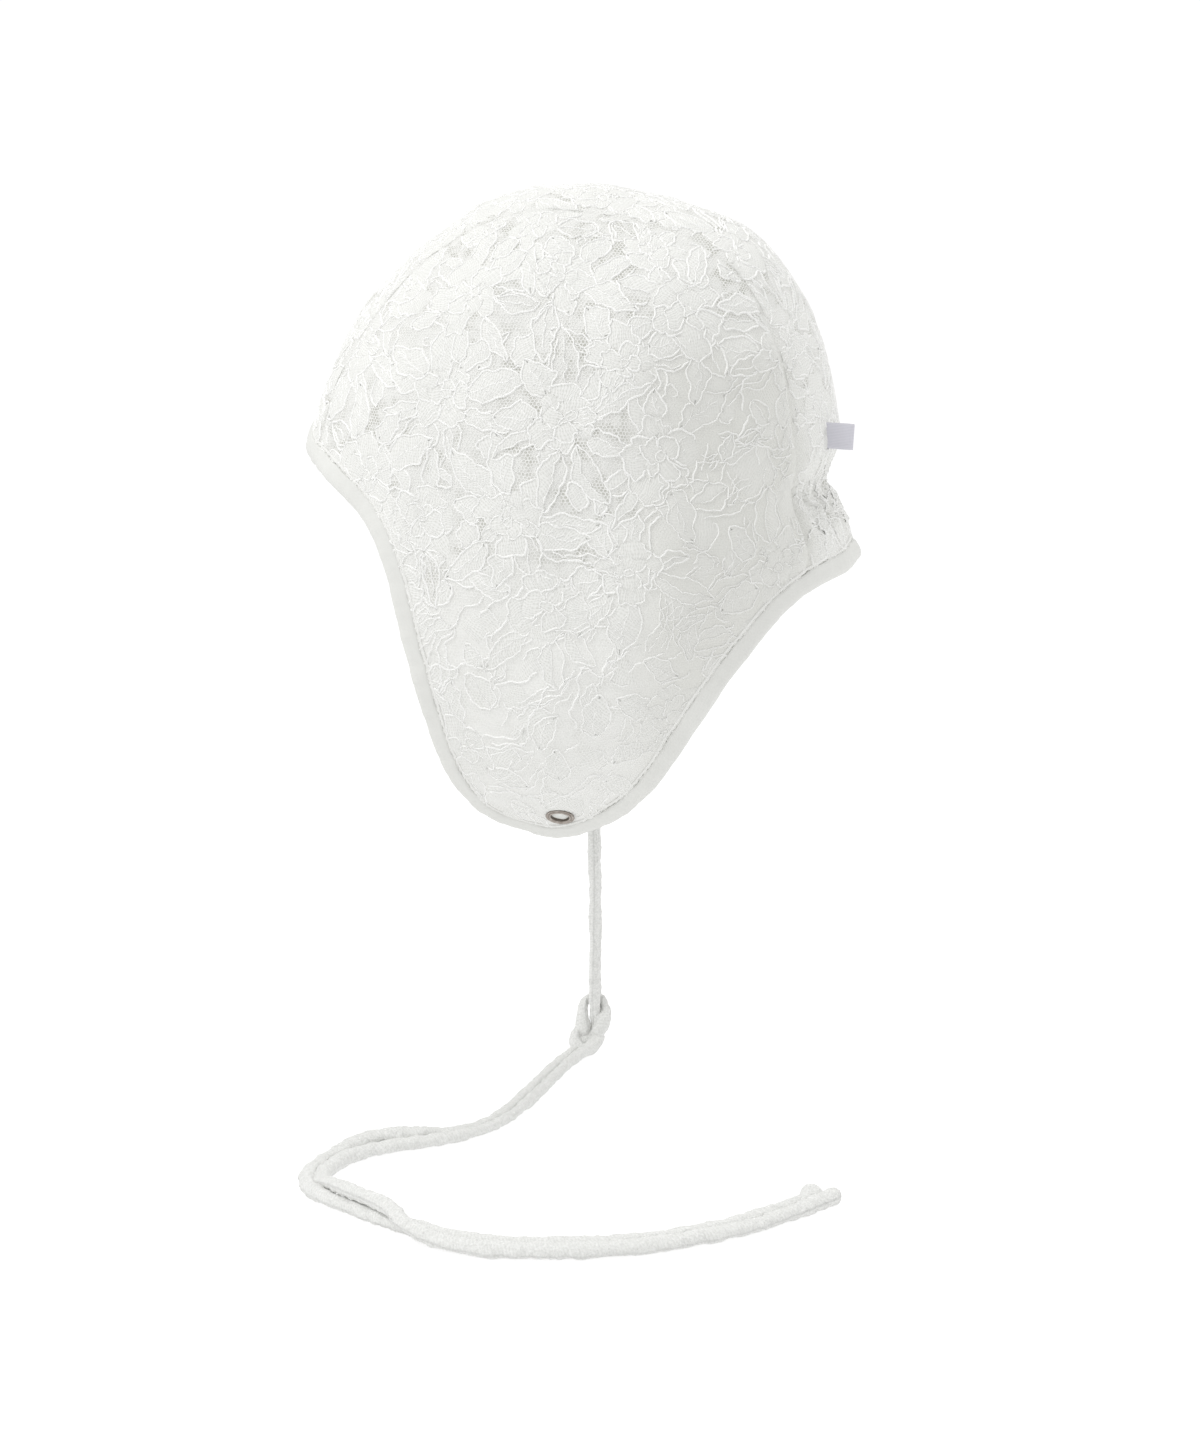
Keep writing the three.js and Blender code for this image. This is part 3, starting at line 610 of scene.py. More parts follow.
# Half the distance between the two cords, in the solids and here where they lie.
PAIR = 2.2
PAIR_LAID = 1.98
FLOOR = -267.6
KNOT = np.array((-33, -3.2, -257.9))
KNOT_TALL = 16
TIE_STEP = 0.45
KNOT_STEP = 0.4
TUBE_SIDES = 24
# From the middle of the knot's top: the outer run upwards, and the inner run downwards. From the right
# eyelet's middle: the inner run's bend behind the flap.
RUN_OUTSIDE = [
    (-PAIR, 0, 0), (-PAIR - 0.6, -0.1, 12), (-PAIR - 2.4, -0.3, 30), (-PAIR - 4.6, -0.55, 46),
    (-PAIR - 5.4, -0.7, 57),
]
RUN_INSIDE = [(PAIR + 6.5, 0.9, 42), (PAIR + 3, 0.45, 26), (PAIR + 0.8, 0.2, 11), (PAIR, 0, 0)]
BEND = [(10, -0.4, 5.6), (13.4, -0.6, -0.5), (13, -0.6, -9)]
# The pair's middle line over the floor: x, y, rise, and how far the pair has rolled over.
PAIR_ROUTE = np.array([
    (-28.9, -4.2, 2.4, 0), (-15.4, -9.7, 0.3, 0), (1, -12.2, 0, 0), (20, -14.6, 0, 0), (38, -17.4, 0, 0),
    (51, -20.7, 0, 0), (61, -26.6, 0, 0), (69, -34, 0, -0.05), (75.5, -43.3, 0, -0.18),
    (82.5, -52, 0, -0.16), (93, -58, 0, 0), (105, -60, 0, 0), (116, -58, 0, 0.05), (125, -51.3, 0, 0.3),
    (133, -42.5, 0, 0.42), (141, -33, 0, 0.51), (149.5, -22.5, 0, 0.93), (155.5, -10.8, 0, 1),
    (157, 3, 0, 1), (155, 19, 0, 1), (149.4, 34.2, 0, 1), (140.5, 48.3, 0, 1), (128, 62.5, 0, 1),
    (103.5, 79.5, 0, 1),
])
# How far from the knot, and how full the lying cords are there.
GIRTH = np.array([
    (0, 1), (6, 0.79), (46, 0.8), (54, 0.85), (68, 0.77), (96, 0.79), (108, 1), (200, 1), (215, 1.06),
    (262, 1.06), (275, 1), (600, 1),
]).T
# In the knot: to the front, up and to the wearer's left, from its middle, and the cord's width there.
KNOT_LOOP = [
    (5.0, -5.6, -0.6, 3.2), (4.6, -4.4, 0.5, 4.3), (3.6, -1.7, 1.5, 5.2), (3.8, 1.5, 1.6, 4.2),
    (3.85, 4.8, 1, 3.5), (3.1, 6.8, -0.6, 3.1), (0.9, 7.3, -2.6, 3.4), (-1.7, 6.9, -2.2, 3),
    (-2.8, 5.7, -0.6, 2.7), (-3.6, 3.7, 0.9, 3.3), (-3.3, 1.6, 2, 4.4), (-2.3, -0.5, 2.7, 5),
    (-1.2, -2.8, 2.7, 4.7), (-0.25, -5, 1.8, 3.9),
]
KNOT_BAND = [
    (-1.7, -4.8, -0.6, 2.6), (-1.45, -5.9, 1, 2.8), (-0.33, -6.7, 4.5, 3.5), (1.55, -7.4, 7, 3.9),
    (4.1, -6.9, 7.2, 4.3), (5.8, -5, 4.8, 4.3), (5.4, -3, 1.5, 3.8), (4.6, -2.4, -1, 3.2),
]


def tie_material():
    """Soft towelling, knitted into a tube: small loops of yarn with shadow between them."""
    m = new_material("tie_towelling")
    u, v = m.along()
    where = m.object_mm()
    rows = (u + v * 0.35).wave(0.9)
    height = rows.times_plus(0.3, m.noise(where, 1.5, 3.0, 0.65).ramp(0.34, 0.66))
    shade = m.mix(height.ramp(0.1, 1.0), (0.80, 0.805, 0.78), (0.94, 0.942, 0.925))
    colour = m.mix(m.noise(where, 0.13).ramp(0.4, 0.7, 0.0, 0.3), shade, (0.86, 0.863, 0.84))
    return m.finish(colour, 0.95, m.bump(height, 0.35, 0.7), sheen=0.2)


def strand_route(sign, cut_back):
    """One strand of the pair from the knot to its end, as a line of close points."""
    spans = len(PAIR_ROUTE) - 1
    ts = np.linspace(0, 1, spans * 4 + 1)
    middle = catmull(PAIR_ROUTE[:, :3], ts)
    along = unit(np.gradient(middle, axis=0))
    sideways = np.stack([-along[:, 1], along[:, 0], np.zeros(len(along))], -1)
    turn = np.pi * np.interp(ts * spans, np.arange(spans + 1), PAIR_ROUTE[:, 3])
    girth = np.interp(travelled(middle), *GIRTH)
    apart = PAIR_LAID * girth
    rise = middle[:, 2] + apart * (np.abs(np.sin(turn)) + sign * np.sin(turn))
    points = np.stack([middle[:, 0], middle[:, 1], FLOOR + CORD_LAID * girth / 2 + rise], -1)
    points += sideways * (sign * apart * np.cos(turn))[:, None]
    if cut_back:
        points[-1] = (points[-1] + points[-2]) / 2
    return points


def smooth_line(points, step):
    return evenly(catmull(points, np.linspace(0, 1, 40 * len(points))), step)


def rough(g, rows, cols, passes):
    """A field of smooth random bumps on a grid that closes across its columns, with a spread of 1."""
    field = g.normal(size=(rows, cols))
    for _ in range(passes):
        for axis in (1, 0):
            field = (np.roll(field, 1, axis) + field + np.roll(field, -1, axis)) / 3
    return field / field.std()


def soft_tube(name, line, sizes, material, up, seed, squeeze=0.07, flare=0.0):
    """A tube of towelling: flattened, lumpy, with a rough nap and blunt ends, never below the floor."""
    g = np.random.default_rng(seed)
    n, sides = len(line), TUBE_SIDES
    run = np.arange(n) * travelled(line)[-1] / (n - 1)
    uneven = [depth * np.sin(run / length + g.uniform(0, 6)) for depth, length in ((0.05, 7.3), (0.04, 3.1))]
    left = run[-1] - run
    blunt = 0.72 + 0.28 * np.minimum(left / 0.9, 1) ** 0.5
    radius = np.interp(run, *sizes) / 2 * (1 + uneven[0] + uneven[1])
    radius = radius * (1 + flare * np.exp(-((left - 1) / 2.5) ** 2)) * blunt
    bulk = 1 + 0.05 * rough(g, n, sides, 8)
    nap = 0.095 * rough(g, n, sides, 1)
    twist = 0.35 * np.sin(run / 31 + g.uniform(0, 6))
    section = circle(sides) * (1 + squeeze, 1 - squeeze)
    rings = sweep(line, up, section, radius[:, None] * bulk + nap, twist)
    end = np.gradient(line, axis=0)[-1]
    rings[-1] += unit(end) * g.uniform(-0.5, 0.5, sides)[:, None]
    points = np.concatenate([rings.reshape(-1, 3), line[:1], line[-1:] - end * 0.8])
    points[:, 2] = np.maximum(points[:, 2], FLOOR)
    faces = grid_faces(n, sides, closed=True).tolist()
    for k in range(sides):
        j = (k + 1) % sides
        faces.append((j, k, n * sides))
        faces.append(((n - 1) * sides + k, (n - 1) * sides + j, n * sides + 1))
    uv = np.concatenate([grid_uv(run, np.arange(sides) * 4 * np.pi / sides), [(0, 0), (run[-1], 0)]])
    return mesh_piece(name, points, faces, material, uv=uv)


def lie_up(line):
    """Which way is up for a flattened cord: the sky where it lies, the wearer's back where it hangs."""
    steep = smoothstep(np.abs(unit(np.gradient(line, axis=0))[:, 2]), 0.55, 0.9)[:, None]
    return np.array((0, 0, 1)) * (1 - steep) + np.array((0, 1, 0)) * steep


def strand(name, upper, sign, cut, towelling):
    """One strand through the eyelet, down to the knot, through it and along the floor: piece and line."""
    lower = strand_route(sign, cut)
    inner = [KNOT + (sign * -1.3, 0.3, 3.5), KNOT + (sign * -0.9, 0.4, -2)]
    line = smooth_line([*upper, *inner, *lower[0:-1:3], lower[-1]], TIE_STEP)
    hung = travelled(smooth_line(upper, 0.9))[-1]
    begin = hung + travelled(np.array([upper[-1], *inner, lower[0]]))[-1]
    sizes = ([0, hung, *(begin + GIRTH[0])], [CORD_HUNG, CORD_HUNG, *(CORD_LAID * GIRTH[1])])
    flare = 0.85 if cut else 0.2
    return soft_tube(name, line, sizes, towelling, lie_up(line), seed=11 + cut, flare=flare), line


def knot_piece(k, rows, towelling):
    """Part of the knot: the pair loops up behind the standing part, and down across its own foot."""
    route = smooth_line([(left, -front, up, size) for front, up, left, size in rows], KNOT_STEP)
    line = KNOT + route[:, :3]
    run = np.arange(len(line)) * travelled(line)[-1] / (len(line) - 1)
    up = route[:, :3] * (1, 1, 0.4)
    return soft_tube(f"tie_knot_{k}", line, (run, route[:, 3]), towelling, up, seed=30 + k, squeeze=0.1)


def tie():
    """Two strands from the eyelet through the knot to their ends, and the knot's two parts."""
    towelling = tie_material()
    place, out = EYELETS[-1]
    top = KNOT + (0, 0, KNOT_TALL / 2 + GAP)
    outside = [place, place + out * 5, *[top + p for p in RUN_OUTSIDE[::-1]]]
    inside = [place - out * depth for depth in (0.4, CLOTH + 1, CLOTH + 4.5)]
    inside += [place + p for p in BEND] + [top + p for p in RUN_INSIDE]
    knots = [knot_piece(1, KNOT_LOOP, towelling), knot_piece(2, KNOT_BAND, towelling)]
    on_hat(knots[0], "cord", "tie_knot")
    on_hat(knots[1], "cord")
    for name, upper, sign, cut, solids, carried in (
            ("tie_strand_a", outside, 1, 0, ("tie_cord_upper", "tie_cord_end_a"), knots),
            ("tie_strand_b", inside, -1, 1, ("tie_cord_end_b",), [])):
        piece, line = strand(name, upper, sign, cut, towelling)
        on_hat(piece, "cord", *solids)


tie()

# ---------- the cut pieces of the cloth, laid out flat in millimetres

# The distance over the head from the ear, by angle and spread, and the spread by angle and distance.
FLAT_STEP = 0.5
ray_angles = np.arange(-180, 181, 1.0)
ray_spreads = np.linspace(0, 90, 181)
ray_points = head_point(ray_angles[:, None], ray_spreads[None], 1)
ray_arcs = np.array([travelled(ray) for ray in ray_points])
ray_spread_table = np.array([np.interp(np.arange(0, 200, FLAT_STEP), arc, ray_spreads) for arc in ray_arcs])
# The distance along the middle of the head, by angle.
middle_angles = np.arange(-30, 231, 0.5)
middle_arc = travelled(head_point(middle_angles, np.full(len(middle_angles), 90.0), 1))


def look_up(table, i, j):
    i = np.clip(i, 0, table.shape[0] - 1.001)
    j = np.clip(j, 0, table.shape[1] - 1.001)
    a, b = i.astype(int), j.astype(int)
    s, t = i - a, j - b
    return (table[a, b] * (1 - s) * (1 - t) + table[a + 1, b] * s * (1 - t)
            + table[a, b + 1] * (1 - s) * t + table[a + 1, b + 1] * s * t)


def panel_limit(angle):
    """How far a side panel reaches from the ear, as a spread: to the seam or to the edge."""
    a = np.where(angle < -90, angle + 360, angle)
    seam = np.where((a > -20) & (a < 225), spread_across(strip_half_at(a)), 90)
    return np.minimum(edge_spread_at(angle), seam)


class Panel:
    """A side panel. Its flat drawing has the ear in the middle, +u to the front and +v up."""

    # Rows round the ear, and columns out to 93 % of the way and from there to the edge.
    GRIDS = {"net": (320, 52, 9), "lining": (170, 25, 5)}
    # Left, bottom, right and top of the flat drawing.
    box = (-105, -125, 115, 110)

    def __init__(self, side):
        self.side = side

    def polar(self, flat):
        return np.degrees(np.arctan2(flat[..., 1], flat[..., 0])), np.hypot(flat[..., 0], flat[..., 1])

    def form(self, flat):
        """The head's points for places in the flat drawing."""
        a, r = self.polar(flat)
        return head_point(a, look_up(ray_spread_table, a + 180, r / FLAT_STEP), self.side)

    def room(self, flat):
        """How far inside the panel a place is, in millimetres, along the line from the ear."""
        a, r = self.polar(flat)
        return look_up(ray_arcs, a + 180, panel_limit(a) * 2) - r

    def clamped(self, flat, margin):
        """The same places, with those outside the panel moved back to a margin inside it."""
        short = np.maximum(margin - self.room(flat), 0)
        r = np.hypot(flat[..., 0], flat[..., 1])
        return flat * ((r - short) / np.maximum(r, 1e-6))[..., None]

    def grid(self, use):
        """Points on the head, their places in the flat drawing, and faces."""
        rows, wide, fine = self.GRIDS[use]
        shares = np.concatenate([np.linspace(0, 0.93, wide)[1:], np.linspace(0.93, 1, fine + 1)[1:]])
        angle = np.linspace(-180, 180, rows, endpoint=False)[:, None]
        spread = panel_limit(angle) * shares
        r = look_up(ray_arcs, np.broadcast_to(angle + 180, spread.shape), spread * 2)
        a = np.radians(angle)
        flat = np.stack([r * np.cos(a), r * np.sin(a)], -1)
        form = head_point(angle, spread, self.side)
        cols = spread.shape[1]
        hub = rows * cols
        faces = [tuple(f) for f in grid_faces(rows + 1, cols) % hub]
        faces += [(hub, i * cols, (i + 1) % rows * cols) for i in range(rows)]
        if self.side > 0:
            faces = [f[::-1] for f in faces]
        ear = head_point(np.zeros(1), np.zeros(1), self.side)
        return (np.concatenate([form.reshape(-1, 3), ear]),
                np.concatenate([flat.reshape(-1, 2), [(0, 0)]]), faces)


class Strip:
    """The centre strip. u runs to the wearer's left and v from the forehead to the nape."""

    # Rows from the forehead to the nape, and columns across.
    GRIDS = {"net": (260, 66), "lining": (150, 30)}
    box = (-42, 25, 42, 300)

    def form(self, flat):
        x = flat[..., 0]
        return self.on_head(np.interp(flat[..., 1], middle_arc, middle_angles), x)

    def on_head(self, angle, x):
        return head_point(angle, spread_across(np.abs(x)), np.where(x < 0, -1, 1))

    def limits(self, x, v):
        """Half the width here, and where the strip's two ends are."""
        ends = (np.interp(edge_angle_at(x, end), middle_angles, middle_arc) for end in (0, 1))
        return strip_half_at(np.interp(v, middle_arc, middle_angles)), *ends

    def room(self, flat):
        x, v = flat[..., 0], flat[..., 1]
        half, first, last = self.limits(x, v)
        return np.minimum(half - np.abs(x), np.minimum(v - first, last - v))

    def clamped(self, flat, margin):
        """The same places, with those outside the strip moved back to a margin inside it."""
        x, v = flat[..., 0], flat[..., 1]
        limit = self.limits(x, v)[0] - margin
        x = np.clip(x, -limit, limit)
        first, last = self.limits(x, v)[1:]
        return np.stack([x, np.clip(v, first + margin, last - margin)], -1)

    def grid(self, use):
        rows, cols = self.GRIDS[use]
        t = np.linspace(0, 1, rows)[:, None]
        c = np.linspace(-1, 1, cols)[None]
        x = c * 36 + 0 * t
        for _ in range(6):
            first, last = edge_angle_at(x, 0), edge_angle_at(x, 1)
            angle = first + (last - first) * t
            x = c * strip_half_at(angle)
        flat = np.stack([x, np.interp(angle, middle_angles, middle_arc)], -1)
        return self.on_head(angle, x).reshape(-1, 3), flat.reshape(-1, 2), grid_faces(rows, cols).tolist()


PARTS = {"left": Panel(1), "right": Panel(-1), "strip": Strip()}


def cotton_material(name, low, high, depth, thread=0.55):
    """A fine plain weave with a little slub, for the lining and the binding."""
    m = new_material(name)
    where = m.object_mm()
    u, v = m.along()
    u = m.noise(where, 0.9, 3.0).times_plus(0.25, u)
    over = u.wave(thread) * v.wave(thread)
    height = over + (u + thread / 2).wave(thread) * (v + thread / 2).wave(thread)
    shade = m.mix(height.ramp(0.1, 1.0), low, high)
    stain = m.noise(where, 0.05, 3.0).ramp(0.35, 0.7, 0.0, 0.3)
    colour = m.mix(stain, shade, tuple(c * 0.95 for c in low))
    return m.finish(colour, 0.9, m.bump(height, depth, 0.6), sheen=0.08)


def thread_material():
    m = new_material("thread_cotton")
    u, v = m.along()
    twist = (u + v).wave(0.45)
    # The thread is darker in the low grooves of its twist: painted shade.
    return m.finish(m.mix(twist, (0.78, 0.78, 0.755), (0.88, 0.88, 0.86)), 0.8, m.bump(twist, 0.05, 0.6))


LINING_COTTON = cotton_material("lining_cotton", (0.76, 0.765, 0.73), (0.84, 0.843, 0.82), 0.08)
THREAD_COTTON = thread_material()


# The lining's two faces: depth, how much of the relief they show, and which way round their quads go.
LINING_FACES = ((1.35, 0.8, 1), (2.45, 0.6, -1))
NET_DEPTH = 0.3


def lining():
    """The inner layer: its face towards the lace, and the smoother one inside the hollow."""
    points, faces, flats, total = [], [], [], 0
    for part in PARTS.values():
        form, flat, quads = part.grid("lining")
        for depth, relief, way in LINING_FACES:
            points.append(cloth(form, depth, relief)[0])
            flats.append(flat)
            faces += [tuple(total + i for i in f[::way]) for f in quads]
            total += len(form)
    points, faces = pierced(np.concatenate(points), faces)
    piece = mesh_piece("lining_cloth", points, faces, LINING_COTTON, uv=np.concatenate(flats))
    on_hat(piece, "lining", "lining")


def net_material(pitch=1.0):
    """Fine hexagonal net over the lining: pale threads round small holes, painted with the lining's shade
    behind them.
    """
    m = new_material("lace_net")
    where = m.object_mm()
    u, v = m.along()
    u = m.noise(where, 0.35).times_plus(1.3, u)
    v = m.noise(where, 0.3).times_plus(1.3, v)
    tall = pitch * 3 ** 0.5

    def cell(du, dv):
        """How far a place is from the middle of its cell in one of the two cell lattices."""
        a, b = (abs(m.math("FRACT", (way + shift) / size) - 0.5)
                for way, shift, size in ((u, du, pitch), (v, dv, tall)))
        b = b * 3 ** 0.5
        return m.math("MAXIMUM", a, a * 0.5 + b * 0.866)

    near = m.math("MINIMUM", cell(0, 0), cell(pitch / 2, tall / 2))
    hole = near.ramp(0.25, 0.40, 1.0, 0.0)
    behind = behind_the_ear(where)
    openness = where.parts()[2].ramp(-122, -88, 0.25, 1.0) * (1.0 - behind * 0.75)
    spots = m.noise(where, 0.05).ramp(0.40, 0.60, 0.35, 1.0)
    patches = m.noise(where, 0.24, 3.0).ramp(0.45, 0.64, 0.12, 1.25)
    # The holes are painted dark where the patches and spots allow: painted shade of the lining behind the
    # net.
    dark = m.math("MULTIPLY", hole * patches, spots * openness, clamp=True)
    thread = m.mix(m.noise(where, 1.2), (0.80, 0.80, 0.775), (0.87, 0.87, 0.85))
    # Behind the ear the whole net is mixed darker: painted shade on the side turned from the light.
    colour = m.mix(behind * 0.75, m.mix(dark, thread, (0.52, 0.52, 0.475)), (0.715, 0.715, 0.68))
    height = (1.0 - hole) * openness.times_plus(0.7, 0.3)
    return m.finish(colour, 0.9, m.bump(height, 0.22, 0.7))


def nets():
    material = net_material()
    solids = {"left": "side_panel_left", "right": "side_panel_right", "strip": "centre_strip"}
    for name, part in PARTS.items():
        form, flat, faces = part.grid("net")
        points, faces = pierced(cloth(form, NET_DEPTH)[0], faces)
        on_hat(mesh_piece(f"lace_net_{name}", points, faces, material, uv=flat), "lace", solids[name])


lining()
nets()

# ---------- the bound edge

BINDING_OUTSIDE = catmull([
    (-4.45, 0.4), (-4.65, 0.95), (-4.4, 1.55), (-3.3, 1.95), (-1.6, 2.45), (-0.3, 2.45), (0.75, 2.0),
    (1.3, 1.1), (1.42, 0), (1.3, -1.1), (0.75, -2.0), (-0.3, -2.45), (-1.6, -2.45), (-3.3, -1.95),
    (-4.3, -1.6), (-4.6, -1.45), (-4.4, -1.3),
], np.linspace(0, 1, 34))
BINDING_INSIDE = [(-3.6, -1.32), (0.25, -1.3), (0.5, -0.9), (0.5, 0.9), (0.25, 1.3), (-3.6, 1.32)]
# How the tape's height wanders: depth and length.
TAPE_WAVES = ((0.035, 23), (0.03, 11.3), (0.03, 6.1), (0.025, 3.4))


def edge_loop(step):
    """Points on the head all round the edge, a step apart, as a closed loop."""
    left = head_point(edge_angle, edge_spread, 1)
    right = head_point(edge_angle, edge_spread, -1)[::-1]
    return evenly(np.concatenate([left[:-1], right[:-1], left[:1]]), step)[:-1]


def edge_frames(loop):
    """For each point of the loop: the way along it, up from the cloth, and inwards."""
    along = unit(np.roll(loop, -1, 0) - np.roll(loop, 1, 0))
    up = normal_at(loop)
    deeper = onto_head(loop + unit(np.cross(up, along)) * 3.5) - loop
    deeper = unit(deeper - along * np.sum(deeper * along, 1, keepdims=True))
    lift = np.cross(along, deeper)
    lift[np.sum(lift * up, 1) < 0] *= -1
    return along, lift, deeper


def binding():
    """Folded tape round the edge, with the cloth between its two sides."""
    material = cotton_material("binding_cotton", (0.735, 0.738, 0.71), (0.80, 0.802, 0.78), 0.07)
    loop = edge_loop(1.0)
    _, up, inward = edge_frames(loop)
    middle = cloth(loop, 0)[0] - up * CLOTH / 2
    section = np.concatenate([BINDING_OUTSIDE, BINDING_INSIDE])
    run = np.arange(len(loop)) * 1.0
    g = np.random.default_rng(3)
    slow = sum(depth * np.sin(run * 2 * np.pi / length + g.uniform(0, 6)) for depth, length in TAPE_WAVES)
    pull = 1 + 0.03 * np.sin(run[:, None] * 2 * np.pi / 7.7)
    wide = np.where(section[:, 0] < -3, pull, 1)[..., None]
    high = np.where(np.abs(section[:, 1]) > 1.6, 1 + slow[:, None], 1)[..., None]
    rows = rows_of(middle, -inward, up, section, wide, high)
    on_hat(skin("binding_tape", rows, run, travelled(section), material, ring=True), "binding", "binding")


binding()

# ---------- the lace's drawing: flowers, leaves and scrolls outlined with cord

# The usual width of a cord, and the share of it in the upper and in the lower drawing.
CORD_WIDTH = 0.74
UPPER_WIDTH = 0.72
LOWER_WIDTH = 0.54
CORD_STEP = 0.68
BIG_ROSE = 7.5


def wobble(flat):
    """A small wander that every line of the drawing shares."""
    u, v = flat[..., 0], flat[..., 1]
    du = 0.5 * np.sin(u / 3.1 + 1.7 * np.sin(v / 5.3)) + 0.32 * np.sin(v / 1.15 + u / 1.7)
    dv = 0.5 * np.sin(v / 2.9 + 1.3 * np.sin(u / 4.7) + 2) + 0.32 * np.sin(u / 1.2 - v / 1.9)
    return np.stack([du + 0.2 * np.sin(u / 0.52 - v / 0.7), dv + 0.2 * np.sin(v / 0.5 + u / 0.65)], -1)


def turned(points, angle):
    c, s = math.cos(angle), math.sin(angle)
    return points @ np.array([(c, s), (-s, c)])


def way_at(angle):
    return np.array((math.cos(angle), math.sin(angle)))


def runs(keep):
    """Index ranges of the stretches of True that are long enough to be a cord."""
    edges = np.flatnonzero(np.diff(np.concatenate([[False], keep, [False]]).astype(int)))
    return [np.arange(a, b) for a, b in edges.reshape(-1, 2) if b - a >= 4]


class Drawing:
    """Outlined shapes of one part of the lace, from the front one to the back one, in its flat drawing.
    Cords are lines with a width. Fills are what shape says, and discs are the places taken by motifs."""

    def __init__(self, part, seed, upper):
        self.part, self.upper = part, upper
        self.g = np.random.default_rng(seed)
        self.cords, self.fills, self.discs = [], [], []
        self.outlines, self.middles, self.reaches = [], np.zeros((0, 2)), np.zeros(0)

    def covered(self, points, before=None):
        """Which points lie inside the outlines drawn so far, or before a number of them."""
        before = len(self.outlines) if before is None else before
        inside = np.zeros(len(points), bool)
        if not before:
            return inside
        gap = np.hypot(*(self.middles[:before, None] - points[None]).transpose(2, 0, 1)).min(1)
        for k in np.nonzero(gap < self.reaches[:before])[0]:
            a = self.outlines[k]
            b = np.roll(a, -1, 0)
            y = points[:, 1:]
            spans = (a[None, :, 1] > y) != (b[None, :, 1] > y)
            rise = np.where(b[:, 1] == a[:, 1], 1e-9, b[:, 1] - a[:, 1])
            at = a[None, :, 0] + (y - a[None, :, 1]) * ((b[:, 0] - a[:, 0]) / rise)[None]
            inside |= ((spans & (points[:, :1] < at)).sum(1) % 2) == 1
        return inside

    def cord(self, points, width=CORD_WIDTH, before=None):
        """A cord along the points, where no shape in front hides it; the lower drawing is finer."""
        line = evenly(np.asarray(points, float), CORD_STEP)
        width *= UPPER_WIDTH if self.upper(line.mean(0)) else LOWER_WIDTH
        self.cords += [(line[run], width) for run in runs(~self.covered(line, before))]

    def shape(self, outline, angle, filled=True, drawn=(0, 1), width=CORD_WIDTH, inner=False, roots=None):
        """A closed shape behind those before it, with cord along a share of its outline.
        Its fill, woven from the outline in to the roots, is the outline, the roots (its middle or a line
        inside it), the angle of the threads, and how many shapes lie in front."""
        n = len(outline)
        path = np.concatenate([outline, outline[:1]])
        self.cord(path[int(drawn[0] * n):int(np.ceil(drawn[1] * n)) + 1], width)
        middle = outline.mean(0)
        if inner:
            start = self.g.integers(0, n)
            part = np.roll(outline, -start, 0)[:int(n * self.g.uniform(0.3, 0.5))]
            self.cord(part + unit(middle - part) * 1.15, width * 0.8)
        if filled:
            self.fills.append((outline, middle[None] if roots is None else roots, angle, len(self.outlines)))
        self.outlines.append(outline)
        self.middles = np.concatenate([self.middles, middle[None]])
        self.reaches = np.append(self.reaches, np.hypot(*(outline - middle).T).max())

    def free(self, place, radius, overlap):
        return all(math.hypot(*(place - c)) > (radius + r) * overlap for c, r in self.discs)

    def inside(self, place, room):
        return float(self.part.room(place[None])[0]) >= room

    def round_shape(self, centre, radius, squash, way, lobes, depth):
        a = np.linspace(0, 2 * np.pi, 36, endpoint=False)
        waves = ((depth, lobes), (0.1, 2), (0.06, 3), (0.35 * depth, 2 * lobes + 1))
        ripple = sum(deep * np.cos(count * a + self.g.uniform(0, 6)) for deep, count in waves)
        points = (radius * (1 + ripple))[:, None] * np.stack([np.cos(a), np.sin(a) * squash], -1)
        return centre + turned(points, way)

    def flower(self, centre, radius):
        """A ruffled rose: petals of very different sizes round a small heart, some only half outlined."""
        g = self.g
        big = radius > BIG_ROSE
        first = g.uniform(0, 6.28)
        self.shape(self.round_shape(centre, radius * 0.14, 0.8, first, 3, 0.12), first, width=0.55)
        # Rings of petals: how far out, how large and how many.
        for reach, size, count in ((0.3, 0.24, 4), (0.62, 0.4, 6)) if big else ((0.55, 0.42, 5),):
            count = int(count - (g.uniform() < 0.4))
            for k in g.permutation(count):
                way = first + k * 2 * np.pi / count + g.uniform(-0.25, 0.25) + reach
                before = len(self.outlines)
                self.petal(centre, radius, way, reach, size)
                if big and reach > 0.5:
                    self.veins(centre, radius, way, before)

    def petal(self, centre, radius, way, reach, size):
        g = self.g
        grow = g.uniform(0.7, 1.3)
        middle = centre + radius * reach * (0.75 + 0.3 * grow) * way_at(way)
        squash, lobes, depth = g.uniform(0.75, 1.4), int(g.integers(3, 8)), g.uniform(0.06, 0.15)
        outline = self.round_shape(middle, radius * size * grow, squash, way, lobes, depth)
        a = g.uniform(0, 0.4)
        drawn = (a, a + g.uniform(0.55, 0.8)) if g.uniform() < 0.35 else (0, 1)
        width = g.uniform(0.55, 0.85)
        self.shape(outline, way + 1.57, drawn=drawn, width=width, inner=reach > 0.5 and g.uniform() < 0.55)

    def veins(self, centre, radius, way, before):
        for turn in (-0.16, 0.14):
            a = way + turn + self.g.uniform(-0.08, 0.08)
            ends = np.linspace(0.55, self.g.uniform(0.7, 0.9), 4)[:, None] * radius
            self.cord(centre + ends * way_at(a), 0.42, before)

    def leaf(self, base, way, length, width, kind):
        """A bent leaf with a midrib: full with veins, woven on one side of the midrib alone, or open."""
        g = self.g
        s = np.linspace(0, 1, 18)
        bend = g.uniform(-0.4, 0.4) * length
        axis, spine = (np.stack([t * length, bend * t * (1 - t) * 0.9], -1) for t in (s, 0.06 + 0.88 * s))
        half = width * np.sin(np.pi * s**0.85) ** 0.8 * (1 + 0.09 * np.sin(s * 15 + g.uniform(0, 6)))
        side = np.stack([0 * s, half], -1)

        def place(p):
            return base + turned(p, way)

        def round_trip(there, back):
            return place(np.concatenate([there, back[-2:0:-1]]))

